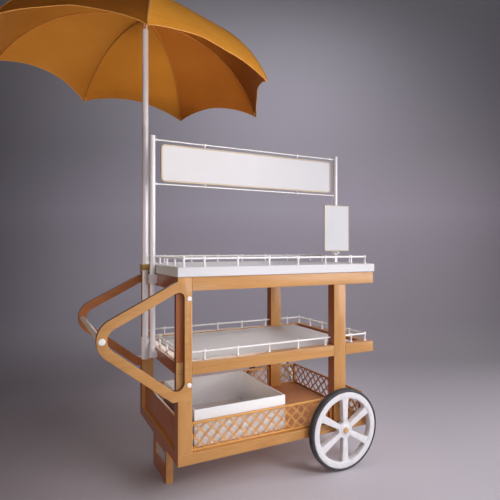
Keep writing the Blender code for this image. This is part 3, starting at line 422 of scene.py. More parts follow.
def plate(bm, outer, holes, low, high, across, radius=0.0, slot=0):
    """A flat plate between low and high along an axis, with holes, its rim edges rounded."""
    part = bmesh.new()
    depth = "xyz".index(across)

    def spot(a, b, level):
        return [a, b][:depth] + [level] + [a, b][depth:]

    edges = []
    for loop in [outer] + holes:
        ring = [part.verts.new(spot(a, b, low)) for a, b in loop]
        edges += [part.edges.new((ring[i], ring[(i + 1) % len(ring)])) for i in range(len(ring))]
    bmesh.ops.triangle_fill(part, edges=edges, use_beauty=True)
    inside = [edge for edge in part.edges if len(edge.link_faces) == 2]
    bmesh.ops.dissolve_limit(part, angle_limit=0.01, verts=[], edges=inside)
    made = bmesh.ops.extrude_face_region(part, geom=part.faces[:])
    moved = [item for item in made["geom"] if isinstance(item, bmesh.types.BMVert)]
    bmesh.ops.translate(part, verts=moved, vec=spot(0, 0, high - low))
    bmesh.ops.recalc_face_normals(part, faces=part.faces)
    if radius:
        rims = [edge for edge in part.edges if abs(edge.verts[0].co[depth] - edge.verts[1].co[depth]) < 1e-6
                and len(edge.link_faces) == 2 and edge.calc_face_angle(0) > 0.8]
        bmesh.ops.bevel(part, geom=rims, offset=radius, segments=3, affect="EDGES", profile=0.5,
                        clamp_overlap=True)
    add_part(bm, part, slot)


def rounded_outline(corners, steps):
    """Outline through (a, b, radius) corners, each rounded by an arc."""
    points = []
    for index, (a, b, radius) in enumerate(corners):
        here = Vector((a, b))
        before = (Vector(corners[index - 1][:2]) - here).normalized()
        after = (Vector(corners[(index + 1) % len(corners)][:2]) - here).normalized()
        half = before.angle(after) / 2
        centre = here + (before + after).normalized() * (radius / math.sin(half))
        first = here + before * (radius / math.tan(half)) - centre
        turn = first.angle_signed(here + after * (radius / math.tan(half)) - centre)
        for step in range(steps + 1):
            angle = -turn * step / steps
            c, s = math.cos(angle), math.sin(angle)
            points.append((centre.x + first.x * c - first.y * s, centre.y + first.x * s + first.y * c))
    return points


def rectangle(a0, b0, a1, b1, radius, steps):
    return rounded_outline([(a0, b0, radius), (a1, b0, radius), (a1, b1, radius), (a0, b1, radius)], steps)


# Finishes

TOP_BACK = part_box("top_frame")[1][1]
POST_LOW, POST_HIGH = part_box("post_right_front")
RING_INNER = TOP_BACK - (POST_HIGH[1] - POST_LOW[1])  # inner face of a ring's long rails, from y 0

TIMBER = {axis: timber("timber_" + axis, axis) for axis in ("x", "y", "z", "ring")}
TIMBER_RIM = timber("timber_handle", "x", dark_rim=True)
# painted shade: a darker, redder copy of the post timber for the posts seen inside the handle slots
TIMBER_SHADED = timber("timber_inner_post", "z", tint=(0.7, 0.4, 0.24))
# painted shade: the far handle plate is a darker copy of the handle timber
RIM_SHADED = timber("timber_far_handle", "x", dark_rim=True, tint=(0.76, 0.5, 0.34))
# painted light: a lighter, yellower copy of the timber for the front and back lattices
TIMBER_LATTICE_LIT = timber("timber_lattice", "x", tint=(1.25, 1.25, 1.05))
# painted light: a lighter copy of the timber for the floors inside the cart
TIMBER_FLOOR_LIT = timber("timber_floor", "x", tint=(1.45, 1.22, 1.05))
WHITE = laminate("white_laminate", (0.715, 0.715, 0.755))
# painted light: the shelf's laminate is lighter than the counter's, for the shelf in the shade under the
# counter
SHELF_WHITE_LIT = laminate("shelf_laminate", (0.78, 0.745, 0.73), 0.06)
BIN_WHITE = laminate("bin_white", (0.9, 0.92, 0.95), 0.03)
PALE_TRIM = laminate("pale_trim", (0.62, 0.52, 0.4), 0.1)
ENAMEL = enamel("white_enamel", (0.93, 0.925, 0.94), 0.26)
WHEEL_PAINT = enamel("wheel_enamel", (0.76, 0.75, 0.78), 0.38)
RIB_SLEEVE = enamel("rib_sleeve", (0.5, 0.185, 0.024), 0.85)
CAP_TAN = enamel("cap_tan", (0.62, 0.36, 0.17), 0.4)
THREAD = enamel("seam_thread", (0.3, 0.1, 0.02), 0.8)
HEM = enamel("canopy_hem", (0.6, 0.27, 0.05), 0.7)
POLE = brushed("pale_pole", (0.82, 0.79, 0.83), 0.2)
HANDLE_METAL = brushed("handle_tube", (0.84, 0.76, 0.68), 0.2, "y")
RIB_METAL = brushed("rib_metal", (0.52, 0.44, 0.4), 0.6, "x", 0.42)
BRASS = brushed("dull_brass", (0.42, 0.26, 0.085), 0.35, "z", 0.45)
RUBBER = rubber("tyre_rubber")
CLOTH = canvas("canopy_canvas", (0.7, 0.3, 0.038), (0.6, 0.232, 0.024))


# CAD pieces that keep their shape

BRACKETS = ("sign_bracket_left_upper", "sign_bracket_right_upper", "sign_bracket_right_lower")
DRESSED = (  # nodes, finish, width and segments of the softened edges
    (("base_frame", "mid_frame", "top_frame"), TIMBER["ring"], 0.0018, 3),
    (("post_right_front", "post_right_back", "post_left_front_lower", "post_left_back_lower"),
     TIMBER["z"], 0.0016, 3),
    (("post_left_front_upper", "post_left_back_upper"), TIMBER_SHADED, 0.0012, 3),
    (("handle_plate_front",), TIMBER_RIM, 0.0032, 4),
    (("handle_plate_back",), RIM_SHADED, 0.0032, 4),
    (("shelf_deck", "base_floor"), TIMBER_FLOOR_LIT, 0.0008, 2),
    (("left_end_panel",), TIMBER["y"], 0.0015, 3),
    (("counter_slab",), WHITE, 0.003, 4),
    (("shelf_board",), SHELF_WHITE_LIT, 0.002, 3),
    (("storage_bin",), BIN_WHITE, 0.0016, 3),
    (BRACKETS, POLE, 0.0012, 3),
    (("mast_collar",), BRASS, 0.0015, 3),
    (("sign_pole_left", "sign_pole_right", "mast", "mast_socket", "axle"), POLE, 0.0, 0),
    (("mast_foot",), RUBBER, 0.0, 0),
    (("handle_bar",), HANDLE_METAL, 0.0, 0))


def dress(node, material, bevel, segments):
    """Give a CAD piece its material and, where it has sharp edges, a soft rounding."""
    piece = NODES[node]
    for slot in piece.material_slots:
        slot.material = material
    if bevel:
        weld = piece.modifiers.new("Weld", "WELD")
        weld.merge_threshold = 1e-5
        flatten = piece.modifiers.new("Flatten", "DECIMATE")
        flatten.decimate_type = "DISSOLVE"
        flatten.angle_limit = math.radians(0.5)
        rounding = piece.modifiers.new("Rounding", "BEVEL")
        rounding.width = bevel
        rounding.segments = segments
        rounding.limit_method = "ANGLE"
        rounding.angle_limit = math.radians(32)
        rounding.harden_normals = True
        piece.data.shade_smooth()


# Bolts and leg

def screw_head(bm, centre, axis, radius, height):
    """A domed head with a socket, its base at centre and its dome along axis."""
    profile = scaled(radius, height, (0, 0), (1, 0), (1, 0.35), (0.86, 0.75), (0.6, 1), (0.34, 1),
                     (0.3, 0.45), (0, 0.4))
    lathe(bm, profile, centre, aim(axis), 24)


def build_bolts(side):
    out = OUTWARD[side]
    for level in ("lower", "upper"):
        node = "handle_bolt_" + side + "_" + level
        x, z, _, face, tip = seen_from(node, out)
        bm = bmesh.new()
        screw_head(bm, (x, face - out * 0.004, z), (0, out, 0), 0.0095, 0.0042)
        rod(bm, (x, face - out * 0.0038, z), (x, tip + out * 0.0002, z), 0.0039, 12)
        piece = finish_piece("bolt_" + side + "_" + level, bm, ENAMEL)
        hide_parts(node)
    node = "handle_cap_" + side
    x, z, radius, face, base = seen_from(node, out)
    profile = scaled(radius, abs(face - base), (0, 0), (1, 0), (1, 0.45), (0.95, 0.75), (0.84, 0.93),
                     (0.6, 1), (0, 1))
    bm = bmesh.new()
    lathe(bm, profile, (x, base, z), aim((0, out, 0)), 40)
    piece = finish_piece("bar_cap_" + side, bm, ENAMEL)
    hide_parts(node)


LEG_BOARD, LEG_UPRIGHT, LEG_SILL = 0.008, 0.02, 0.028
LEG_WINDOW_END = 0.165  # from the leg's front edge
LEG_WINDOW_LOW, LEG_WINDOW_HIGH = 0.066, 0.124
OVERLAP = 0.0005  # of parts that make up one piece


def build_leg():
    """A board with a rounded window on the handle side, a solid foot behind it and an upright in front."""
    low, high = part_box("leg")
    inner, front = low[0] + LEG_BOARD, low[1] + LEG_UPRIGHT
    bm = bmesh.new()
    outline = rectangle(low[1], low[2], high[1], high[2], 0.002, 3)
    window = rectangle(front, LEG_WINDOW_LOW, low[1] + LEG_WINDOW_END, LEG_WINDOW_HIGH, 0.009, 5)
    plate(bm, outline, [window], low[0], inner, "x", 0.0015)
    left, sill = inner - OVERLAP, low[2] + LEG_SILL
    rounded_box(bm, (left, low[1] + 0.0004, low[2]), (high[0], front, high[2]), 0.002)
    rounded_box(bm, (left, front - OVERLAP, low[2]), (high[0], high[1] - 0.0004, sill), 0.002)
    piece = finish_piece("leg_board", bm, TIMBER["y"], "cart_body", 30)
    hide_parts("leg")


# Lattice fences

LATTICE_PITCH = 0.05
STRAND_WIDTH, STRAND_THICK, STRAND_CUT = 0.0036, 0.0032, 0.0009
STRAND_OFFSET = 0.0029  # of a strand's middle from its strip's
STRAND_STEP = 0.0055
WEAVE = 0.0021  # rise of a strand over the one that it crosses
TUCK = 0.005  # of a strand's end into its border
BORDERS = (0.008, 0.007, 0.008, 0.009)  # left, bottom, right, top
BORDER_ROUNDING = 0.002


def woven_strip(bm, start, end, first, sign, place):
    """Two strands from start to end, passing together over and under at each crossing from the first on."""
    run = end - start
    along = run.normalized()
    side = Vector((-along.y, along.x))
    spacing = LATTICE_PITCH / math.sqrt(2)
    count = max(4, int(run.length / STRAND_STEP))
    section = strip_section(STRAND_WIDTH, STRAND_THICK, STRAND_CUT, STRAND_CUT)
    for offset in (-STRAND_OFFSET, STRAND_OFFSET):
        rings = []
        for step in range(count + 1):
            here = start + run * (step / count) + side * offset
            lift = sign * WEAVE * math.cos(math.pi * (here - first).dot(along) / spacing)
            rings.append([bm.verts.new(place(here.x + side.x * w, here.y + side.y * w, lift + t))
                          for w, t in section])
        skin(bm, rings)


def clip_line(point, along, a0, b0, a1, b1):
    """The part of a slanted line inside a rectangle, or None."""
    near, far = -10.0, 10.0
    for value, step, low, high in ((point.x, along.x, a0, a1), (point.y, along.y, b0, b1)):
        first, second = sorted(((low - value) / step, (high - value) / step))
        near, far = max(near, first), min(far, second)
    return (point + along * near, point + along * far) if far - near > 0.01 else None


def fence_strips(bm, a0, b0, a1, b1, borders, place):
    left, bottom, right, top = borders
    field = (a0 + left - TUCK, b0 + bottom - TUCK, a1 - right + TUCK, b1 - top + TUCK)
    centre = Vector(((field[0] + field[2]) / 2, (field[1] + field[3]) / 2))
    reach = int(((a1 - a0) + (b1 - b0)) / LATTICE_PITCH) + 2
    for slope in (1, -1):
        along = Vector((1, slope)).normalized()
        for index in range(-reach, reach + 1):
            crossing = centre + Vector(((index + 0.5) * LATTICE_PITCH, 0))
            span = clip_line(crossing, along, *field)
            if span:
                woven_strip(bm, *span, crossing, slope * (-1) ** (index % 2), place)


def fence_borders(bm, a0, b0, a1, b1, borders, thick, place):
    left, bottom, right, top = borders
    join = 0.0002
    for low, high in (((a0, b1 - top), (a1, b1)), ((a0, b0), (a1, b0 + bottom)),
                      ((a0, b0 + bottom - join), (a0 + left, b1 - top + join)),
                      ((a1 - right, b0 + bottom - join), (a1, b1 - top + join))):
        p, q = place(*low, -thick / 2), place(*high, thick / 2)
        rounded_box(bm, [min(pair) for pair in zip(p, q)], [max(pair) for pair in zip(p, q)], BORDER_ROUNDING)


def fence_panel(bm, a0, b0, a1, b1, borders, thick, place, overlap=0.0):
    """A framed panel of woven strips in its own (a, b) plane; place turns (a, b, depth) into a point.

    Its borders reach past a1 by the overlap."""
    fence_strips(bm, a0, b0, a1, b1, borders, place)
    fence_borders(bm, a0, b0, a1 + overlap, b1, borders, thick, place)


def along_x(y):
    """The place of a panel that stands along x at y."""
    return lambda a, b, depth: (a, y + depth, b)


def along_y(x):
    """The place of a panel that stands along y at x."""
    return lambda a, b, depth: (x + depth, a, b)


def build_fences():
    low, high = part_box("lattice_front")
    thick = high[1] - low[1]
    for side in ("front", "back"):
        node = "lattice_" + side
        low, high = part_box(node)
        bm = bmesh.new()
        fence_panel(bm, low[0], low[2], high[0], high[2], BORDERS, thick, along_x(middle(node)[1]))
        piece = finish_piece("fence_" + side, bm, TIMBER_LATTICE_LIT, "cart_body", 30)
        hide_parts(node)
    low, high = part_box("lattice_right")
    left, bottom, _, top = BORDERS
    bm = bmesh.new()
    fence_panel(bm, low[1], low[2], high[1], high[2], (thick, bottom, thick, top), thick,
                along_y(high[0] - thick / 2))
    for y in (low[1] + thick / 2, high[1] - thick / 2):
        fence_panel(bm, low[0], low[2], high[0] - thick, high[2], (left, bottom, 0.004, top), thick,
                    along_x(y), overlap=0.0004)
    piece = finish_piece("fence_right", bm, TIMBER["y"], "cart_body", 30)
    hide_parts("lattice_right")


# Galleries

RAIL_RADIUS = 0.0044
RAIL_DROP = 0.008  # of the rail's middle under the posts' tops in the CAD model
POST_FOOT = mm((0, 0), (6.8, 0), (6.8, 1.4), (5, 3), (4.4, 6))  # from the floor up
POST_HEAD = mm((4, -14), (4.6, -7.5), (5.8, -3.8), (6.2, 0), (5.8, 2.8), (4, 4.6), (4.4, 6), (4.4, 7.3),
               (2.8, 8.5), (0, 8.5))  # about the rail
POST_SHARES = (0.0, 0.0946, 0.2563, 0.4202, 0.5809, 0.7448, 0.9087, 1.0)  # of the counter's length


def gallery(node, runs, posts):
    """Rails along runs, on slim turned posts with a ball at the rail and a small knob on top."""
    low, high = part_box(node)
    floor, rail_z = low[2], high[2] - RAIL_DROP
    profile = [(r, floor + h) for r, h in POST_FOOT] + [(r, rail_z + h) for r, h in POST_HEAD]
    bm = bmesh.new()
    for start, end in runs:
        rod(bm, (*start, rail_z), (*end, rail_z), RAIL_RADIUS, 12)
    for x, y in posts:
        lathe(bm, profile, (x, y, 0), "z", 14)
    piece = finish_piece(node.replace("rail", "gallery"), bm, ENAMEL)
    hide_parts(node)


def build_galleries():
    left, right = middle("counter_rail_left")[0], middle("counter_rail_right")[0]
    near, far = middle("counter_rail_front")[1], middle("counter_rail_back")[1]
    xs = [left + (right - left) * share for share in POST_SHARES]
    ys = [near + (far - near) / 5 * (index + 1) for index in range(4)]
    for side, y in (("front", near), ("back", far)):
        gallery("counter_rail_" + side, [((left - 0.002, y), (right + 0.002, y))], [(x, y) for x in xs])
        low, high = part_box("shelf_rail_" + side)
        gallery("shelf_rail_" + side, [((low[0], y), (high[0], y))], [(x, y) for x in xs[1:-2]])
    for side, x in (("left", left), ("right", right)):
        gallery("counter_rail_" + side, [((x, near + 0.005), (x, far - 0.005))], [(x, y) for y in ys])
    low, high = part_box("shelf_rail_left")
    gallery("shelf_rail_left", [((left, low[1]), (left, high[1]))], [(left, y) for y in ys])
    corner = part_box("shelf_rail_right")[0][0]
    gallery("shelf_rail_right",
            [((right, near), (right, far)), ((corner, near), (right, near)), ((corner, far), (right, far))],
            [(xs[-2], near), (right, near), (right, far), (xs[-2], far)] + [(right, y) for y in ys])


# Wheels

SPOKES = 6
RIM_WIDTH, RIM_DEPTH, WEB_TUCK = 0.027, 0.032, 0.007  # the web reaches into the rim by its tuck
WEB_FRONT, WEB_BACK = 0.0022, 0.027  # from the wheel's face
HALF_SPOKE_RIM, HALF_SPOKE_HUB = 0.0165, 0.0108
HUB_RADIUS = 0.036
SCREW_CIRCLE = 0.0225


def window_corners(rim, first, last):
    """Corners (radius, angle, rounding) of the opening between two spokes."""
    at_rim, at_hub = math.asin(HALF_SPOKE_RIM / rim), math.asin(HALF_SPOKE_HUB / HUB_RADIUS)
    start, width = first + at_rim, last - first - 2 * at_rim
    arc = [(rim * 1.001, start + width * share, 0.06) for share in (0.25, 0.5, 0.75)]
    return [(rim, start, 0.007), *arc, (rim, last - at_rim, 0.007), (HUB_RADIUS, last - at_hub, 0.004),
            (HUB_RADIUS + 0.001, (first + last) / 2, 0.004), (HUB_RADIUS, first + at_hub, 0.004)]


def build_wheel(side):
    out, body = OUTWARD[side], "wheel_" + side + "_body"
    x, z, rim, face, back = seen_from("wheel_" + side, out)

    def round_point(radius, angle):
        return x + radius * math.cos(angle), z + radius * math.sin(angle)

    inner = rim - RIM_WIDTH
    to_back = aim((0, -out, 0))
    bm = bmesh.new()
    half = [(inner, 0.003), (inner + 0.0015, 0.0006), (inner + 0.004, 0.0), (rim - 0.004, 0.0),
            (rim - 0.0012, 0.001), (rim, 0.0035)]
    lathe(bm, mirrored(half, RIM_DEPTH), (x, face, z), to_back, 112)
    spokes = [math.pi / 2 + index * TAU / SPOKES for index in range(SPOKES)]
    windows = []
    for angle in spokes:
        corners = window_corners(inner - 0.0004, angle, angle + TAU / SPOKES)
        windows.append(rounded_outline([(*round_point(r, at), rounding) for r, at, rounding in corners], 5))
    outline = [round_point(inner + WEB_TUCK, TAU * s / 96) for s in range(96)]
    plate(bm, outline, windows, *sorted((face - out * WEB_FRONT, face - out * WEB_BACK)), "y", 0.003)
    barrel = abs(back - face)
    hub = mm((10.3, 0), (19, 0), (21.5, 0.8), (26.2, 2.6), (26.8, 5))
    hub += [(0.0268, barrel - 0.004), (0.025, barrel), (0.0103, barrel)]
    lathe(bm, hub, (x, face, z), to_back, 48)
    for angle in spokes:
        spot_x, spot_z = round_point(SCREW_CIRCLE, angle)
        screw_head(bm, (spot_x, face - out * WEB_FRONT, spot_z), (0, out, 0), 0.0022, 0.0013)
    wheel = finish_piece("cast_wheel_" + side, bm, WHEEL_PAINT, body, 40)
    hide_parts("wheel_" + side)
    build_tyre(side, body, x, z, rim + GAP)

    _, _, radius, near, far = seen_from("hub_cap_" + side, out)
    profile = scaled(radius, abs(far - near), (0, 0), (1, 0), (1, 0.4), (0.93, 0.72), (0.78, 0.9), (0.55, 1),
                     (0.5, 0.9), (0, 0.88))
    bm = bmesh.new()
    lathe(bm, profile, (x, face + out * GAP, z), aim((0, out, 0)), 40)
    cap = finish_piece("tan_hub_cap_" + side, bm, CAP_TAN, body)
    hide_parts("hub_cap_" + side)


def build_tyre(side, body, x, z, seat):
    """A rubber tyre on a rim of radius seat, with three grooves in its tread."""
    low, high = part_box("tyre_" + side)
    tread, half = (high[0] - low[0]) / 2, (high[1] - low[1]) / 2
    shoulder = [(seat, -half * 0.93), (seat + 0.0035, -half), (tread - 0.005, -half * 0.94),
                (tread - 0.0018, -half * 0.78), (tread - 0.0004, -half * 0.58), (tread, -half * 0.4)]
    grooves = []
    for groove in (-0.3, 0.0, 0.3):
        at, bottom, wide, narrow = half * groove, tread - 0.0016, half * 0.055, half * 0.0385
        grooves += [(tread, at - wide), (bottom, at - narrow), (bottom, at + narrow), (tread, at + wide)]
    bm = bmesh.new()
    lathe(bm, shoulder + grooves + [(radius, -offset) for radius, offset in reversed(shoulder)],
          (x, middle("tyre_" + side)[1], z), "y", 128)
    tyre = finish_piece("rubber_tyre_" + side, bm, RUBBER, body, 30)
    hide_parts("tyre_" + side)


# Sign and price board

SIGN_CLIPS = (0.2, 0.71)  # x of the clips that hold the sign on its rods
ROD_INSET = 0.009
BRACKET_SCREWS = (0.14, 0.86)  # shares of a bracket's depth
PRICE_THICK = 0.008
POLE_BORE, SLEEVE_HEIGHT = 0.0128, 0.038


def framed_board(bm, x0, z0, x1, z1, y0, y1, corner, border, lip):
    """A white board in a rounded pale frame: board in slot 0, frame in slot 1."""
    round_inside, tuck = max(corner - border, 0.002), border - 0.0006
    frame_outline = rectangle(x0, z0, x1, z1, corner, 8)
    frame_opening = rectangle(x0 + border, z0 + border, x1 - border, z1 - border, round_inside, 8)
    plate(bm, frame_outline, [frame_opening], y0, y1, "y", 0.0014, 1)
    board = rectangle(x0 + tuck, z0 + tuck, x1 - tuck, z1 - tuck, round_inside, 8)
    plate(bm, board, [], y0 + lip, y1 - lip, "y")


def build_sign_rail(level, edge):
    """A thin rod between the poles with a collar at each end, and two clips that reach the sign's edge."""
    node = "sign_rod_" + level
    low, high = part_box(node)
    away = 1 if level == "upper" else -1
    y = middle(node)[1]
    z = high[2] - ROD_INSET if level == "upper" else low[2] + ROD_INSET
    bm = bmesh.new()
    rod(bm, (low[0], y, z), (high[0], y, z), 0.003, 12)
    for end, direction in ((low[0], 1), (high[0], -1)):
        collar = mm((0, 0), (5.5, 0), (5.5, 4), (4.2, 6.5), (0, 6.5))
        lathe(bm, collar, (end, y, z), aim((direction, 0, 0)), 16)
    for x in SIGN_CLIPS:
        lathe(bm, mirrored(mm((2.6, -3.5), (5.6, -3.5), (6.2, -2.2)), 0), (x, y, z), "x", 18)
        length = abs(z - edge) - 0.004
        stem = mm((0, 0), (5.2, 0), (5.2, 1.2), (3, 2.4)) + [(0.0026, length), (0, length)]
        lathe(bm, stem, (x, y, edge), aim((0, 0, away)), 16)
    piece = finish_piece("sign_rail_" + level, bm, ENAMEL)
    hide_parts(node)


def build_sign():
    low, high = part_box("sign_panel")
    bm = bmesh.new()
    framed_board(bm, low[0], low[2], high[0], high[2], low[1], high[1], 0.02, 0.0075, 0.0012)
    piece = finish_piece("sign_board", bm, (WHITE, PALE_TRIM), "cart_body")
    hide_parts("sign_panel")
    build_sign_rail("lower", low[2] - GAP)
    build_sign_rail("upper", high[2] + GAP)
    for side in ("left", "right"):
        x, y, _ = middle("sign_pole_" + side)
        low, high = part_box("sign_pole_" + side)
        radius = (high[0] - low[0]) / 2
        bm = bmesh.new()
        lathe(bm, [(0, 0), (radius * 1.05, 0), (radius * 1.05, 0.0022), (radius * 0.8, 0.0042), (0, 0.0048)],
              (x, y, high[2] + GAP), "z", 28)
        finish_piece("pole_cap_" + side, bm, ENAMEL)
    for node in BRACKETS:
        low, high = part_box(node)
        face, direction = (low[0], -1) if "left" in node else (high[0], 1)
        bm = bmesh.new()
        for share in BRACKET_SCREWS:
            spot = (face + direction * 0.0001, low[1] + (high[1] - low[1]) * share, middle(node)[2])
            screw_head(bm, spot, (direction, 0, 0), 0.0022, 0.0014)
        finish_piece(node + "_screws", bm, BRASS, "cart_body")


def build_price_board():
    """The board on its sleeve, and below them the stop collar with its clamping knob."""
    x, y, _ = middle("sign_pole_right")
    collar_low, collar_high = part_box("price_collar")
    low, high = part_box("price_board")
    back, foot, height = low[1] + PRICE_THICK, collar_high[2], collar_high[2] - collar_low[2]
    bm = bmesh.new()
    framed_board(bm, low[0], foot + 0.0005, high[0], high[2], low[1], back, 0.006, 0.0045, 0.001)
    sleeve = [(POLE_BORE, 0), (0.018, 0), (0.019, 0.0012), (0.019, SLEEVE_HEIGHT - 0.003),
              (0.0178, SLEEVE_HEIGHT), (POLE_BORE, SLEEVE_HEIGHT)]
    lathe(bm, sleeve, (x, y, foot + GAP), "z", 36, 2)
    rounded_box(bm, (x - 0.008, back - 0.001, foot + 0.004), (x + 0.008, y - 0.014, foot + 0.034), 0.002, 2)
    piece = finish_piece("price_panel", bm, (WHITE, PALE_TRIM, ENAMEL), "price_board_body")
    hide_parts("price_board")
    ring = [(POLE_BORE, 0), (0.0178, 0), (0.019, 0.0014), (0.019, height * 0.42), (0.0182, height * 0.5),
            (0.019, height * 0.58), (0.019, height - 0.0014), (0.0178, height), (POLE_BORE, height)]
    bm = bmesh.new()
    lathe(bm, ring, (x, y, collar_low[2]), "z", 36)
    tip = y - collar_low[1]
    knob = mm((0, 17), (2.8, 17), (2.8, 22.5), (4.6, 23.5), (5.4, 26), (5.4, 30.5))
    knob += [(0.0044, tip - 0.0006), (0.0026, tip), (0, tip)]
    lathe(bm, knob, (x, y, collar_low[2] + height / 2), aim((0, -1, 0)), 18)
    piece = finish_piece("price_stop_collar", bm, ENAMEL, "price_collar_body")
    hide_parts("price_collar")


# Umbrella

PIVOT = Vector(JOINTS["umbrella_tilt"]["pos_m"])
HINGE = Vector(JOINTS["umbrella_tilt"]["axis"]).normalized()
TILT = math.radians(7.8)  # of the canopy at rest
TOWARDS = math.atan2(-HINGE.x, HINGE.y)  # heading of the canopy's low side
UP = Vector((math.cos(TOWARDS) * math.sin(TILT), math.sin(TOWARDS) * math.sin(TILT), math.cos(TILT)))
DOWN = Vector((math.cos(TOWARDS) * math.cos(TILT), math.sin(TOWARDS) * math.cos(TILT), -math.sin(TILT)))
TO_CANOPY = Matrix((DOWN, HINGE, UP)).transposed()
CROWN = PIVOT + UP * 0.045
RADIUS, DROP, CURVE = 0.6505, 0.3074, (2.8, 0.855)
RIBS = 7
PHASE = math.radians(-99.76)  # heading of the first rib
HALF_GORE = math.pi / RIBS
HEM_RISES = (0.055, 0.055, 0.055, 0.055, 0.055, 0.03, 0.055)  # of each scallop, as a share of RADIUS
CHORD_PULL = 0.85  # how far the cloth is drawn in to the chord between its ribs
RIPPLE = 0.0022
CLOTH_THICK, CLOTH_DEPTH = 0.0011, 0.0004
HEM_FOLD, HEM_THICK = 0.955, 0.0009  # where the hem's fold starts, and what it adds
COLUMNS, ROWS, ROW_BIAS = 22, 40, 0.9
CLOTH_START = 0.022  # the cloth's inner edge, under the finial
STITCH_LINE, STITCHES = 0.957, 46
RIB_START, RIB_END, RIB_STEPS = 0.032, 0.985, 30
RIB_DEPTH = 0.0068
TAPE_START, TAPE_RUN, TAPE_STEPS = 0.03, 0.962, 36  # along each rib
EDGE_ACROSS, EDGE_STEPS = 0.995, 30  # of the rolled edge, across each gore
STITCHES_ACROSS = 0.97


def drop_at(share):
    first, second = CURVE
    return DROP * (1 - (1 - min(share, 1.0) ** first) ** second)


def cloth_point(angle, share, depth=0.0, squeeze=1.0):
    """A point of the dome, sunk inwards by depth; squeeze draws it towards the canopy's axis."""
    small = 0.002
    before, after = max(share - small, 0.0), min(share + small, 1.0)
    run, fall = (after - before) * RADIUS, drop_at(after) - drop_at(before)
    length = math.hypot(run, fall)
    radius = RADIUS * share * squeeze - depth * fall / length
    drop = drop_at(share) + depth * run / length
    turn = angle - TOWARDS
    return CROWN + DOWN * (radius * math.cos(turn)) + HINGE * (radius * math.sin(turn)) - UP * drop


def rib_angle(index):
    return PHASE + index * 2 * HALF_GORE


def gore_point(index, across, along, depth):
    """Point of a gore: across from -1 to 1 between its ribs, along from 0 at the crown to 1 at the hem."""
    bow = 1 - across * across
    share = (1 - HEM_RISES[index] * bow) * along
    chord = math.cos(HALF_GORE) / math.cos(across * HALF_GORE)
    squeeze = 1 + (chord - 1) * CHORD_PULL * min(1.0, share * 1.6)
    ripple = RIPPLE * math.sin(across * 7.0 + index * 1.9) * along ** 3 * bow
    return cloth_point(rib_angle(index + 0.5) + across * HALF_GORE, share, depth + ripple, squeeze)


def build_cloth():
    """Seven gores of two layers joined at the crown and the hem, with a UV map in metres."""
    bm = bmesh.new()
    uv = bm.loops.layers.uv.new("cloth")
    reach = [(row / ROWS) ** ROW_BIAS for row in range(ROWS + 1)]
    for index in range(RIBS):
        layers = []
        for depth, fold in ((CLOTH_DEPTH, 0.0), (CLOTH_DEPTH + CLOTH_THICK, HEM_THICK)):
            layers.append([])
            for along in (CLOTH_START + (1 - CLOTH_START) * share for share in reach):
                sunk = depth + (fold if along > HEM_FOLD else 0.0)
                layers[-1].append([bm.verts.new(gore_point(index, -1 + 2 * column / COLUMNS, along, sunk))
                                   for column in range(COLUMNS + 1)])
        for grid, order in zip(layers, (-1, 1)):
            for row in range(ROWS):
                for column in range(COLUMNS):
                    corners = [(row, column), (row, column + 1), (row + 1, column + 1),
                               (row + 1, column)][::order]
                    face = bm.faces.new([grid[r][c] for r, c in corners])
                    for loop, (r, c) in zip(face.loops, corners):
                        width = RADIUS * HALF_GORE * reach[r]
                        loop[uv].uv = ((c / COLUMNS * 2 - 1) * width + index, RADIUS * 1.15 * reach[r])
        top, under = layers
        for row, order in ((0, 1), (ROWS, -1)):
            for column in range(COLUMNS):
                quad = [top[row][column], top[row][column + 1], under[row][column + 1], under[row][column]]
                for loop in bm.faces.new(quad[::order]).loops:
                    loop[uv].uv = ((column / COLUMNS - 0.5) * 0.5 + index, 0.75)
    return finish_piece("canopy_cloth", bm, CLOTH, "canopy_body", 5)


def strip_on(bm, place, steps, depth, away, width, thick):
    """A strip through place(step, depth) with its back to place(step, away)."""
    points = [place(step, depth) for step in steps]
    strip_along(bm, points, [point - place(step, away) for point, step in zip(points, steps)], width, thick)
    return points


def build_seams():
    """Tapes over the ribs, outside, and the hem's rolled edge."""
    bm = bmesh.new()
    for index in range(RIBS):
        strip_on(bm, lambda share, depth: cloth_point(rib_angle(index), share, depth),
                 [TAPE_START + TAPE_RUN * step / TAPE_STEPS for step in range(TAPE_STEPS + 1)],
                 -0.0002, 0.01, 0.0085, 0.0012)
    for index in range(RIBS):
        strip_on(bm, lambda across, depth: gore_point(index, across, 1.0, depth),
                 [-EDGE_ACROSS + 2 * EDGE_ACROSS * step / EDGE_STEPS for step in range(EDGE_STEPS + 1)],
                 0.0012, 0.02, 0.0036, 0.003)
    return finish_piece("canopy_seams", bm, HEM, "canopy_body", 50)


def build_stitches():
    """A row of small raised threads just inside the hem, on both faces of the cloth."""
    bm = bmesh.new()
    for index in range(RIBS):
        for step in range(STITCHES):
            first, last = (STITCHES_ACROSS * (2 * (step + share) / STITCHES - 1) for share in (0.15, 0.75))
            for depth, face in ((0.0002, 1), (0.0027, -1)):
                p, q = (gore_point(index, across, STITCH_LINE, depth) for across in (first, last))
                out = (p - gore_point(index, first, STITCH_LINE, depth + 0.01)) * face
                strip_along(bm, [p, (p + q) / 2, q], [out] * 3, 0.001, 0.0006)
    return finish_piece("canopy_stitches", bm, THREAD, "canopy_body", 50)


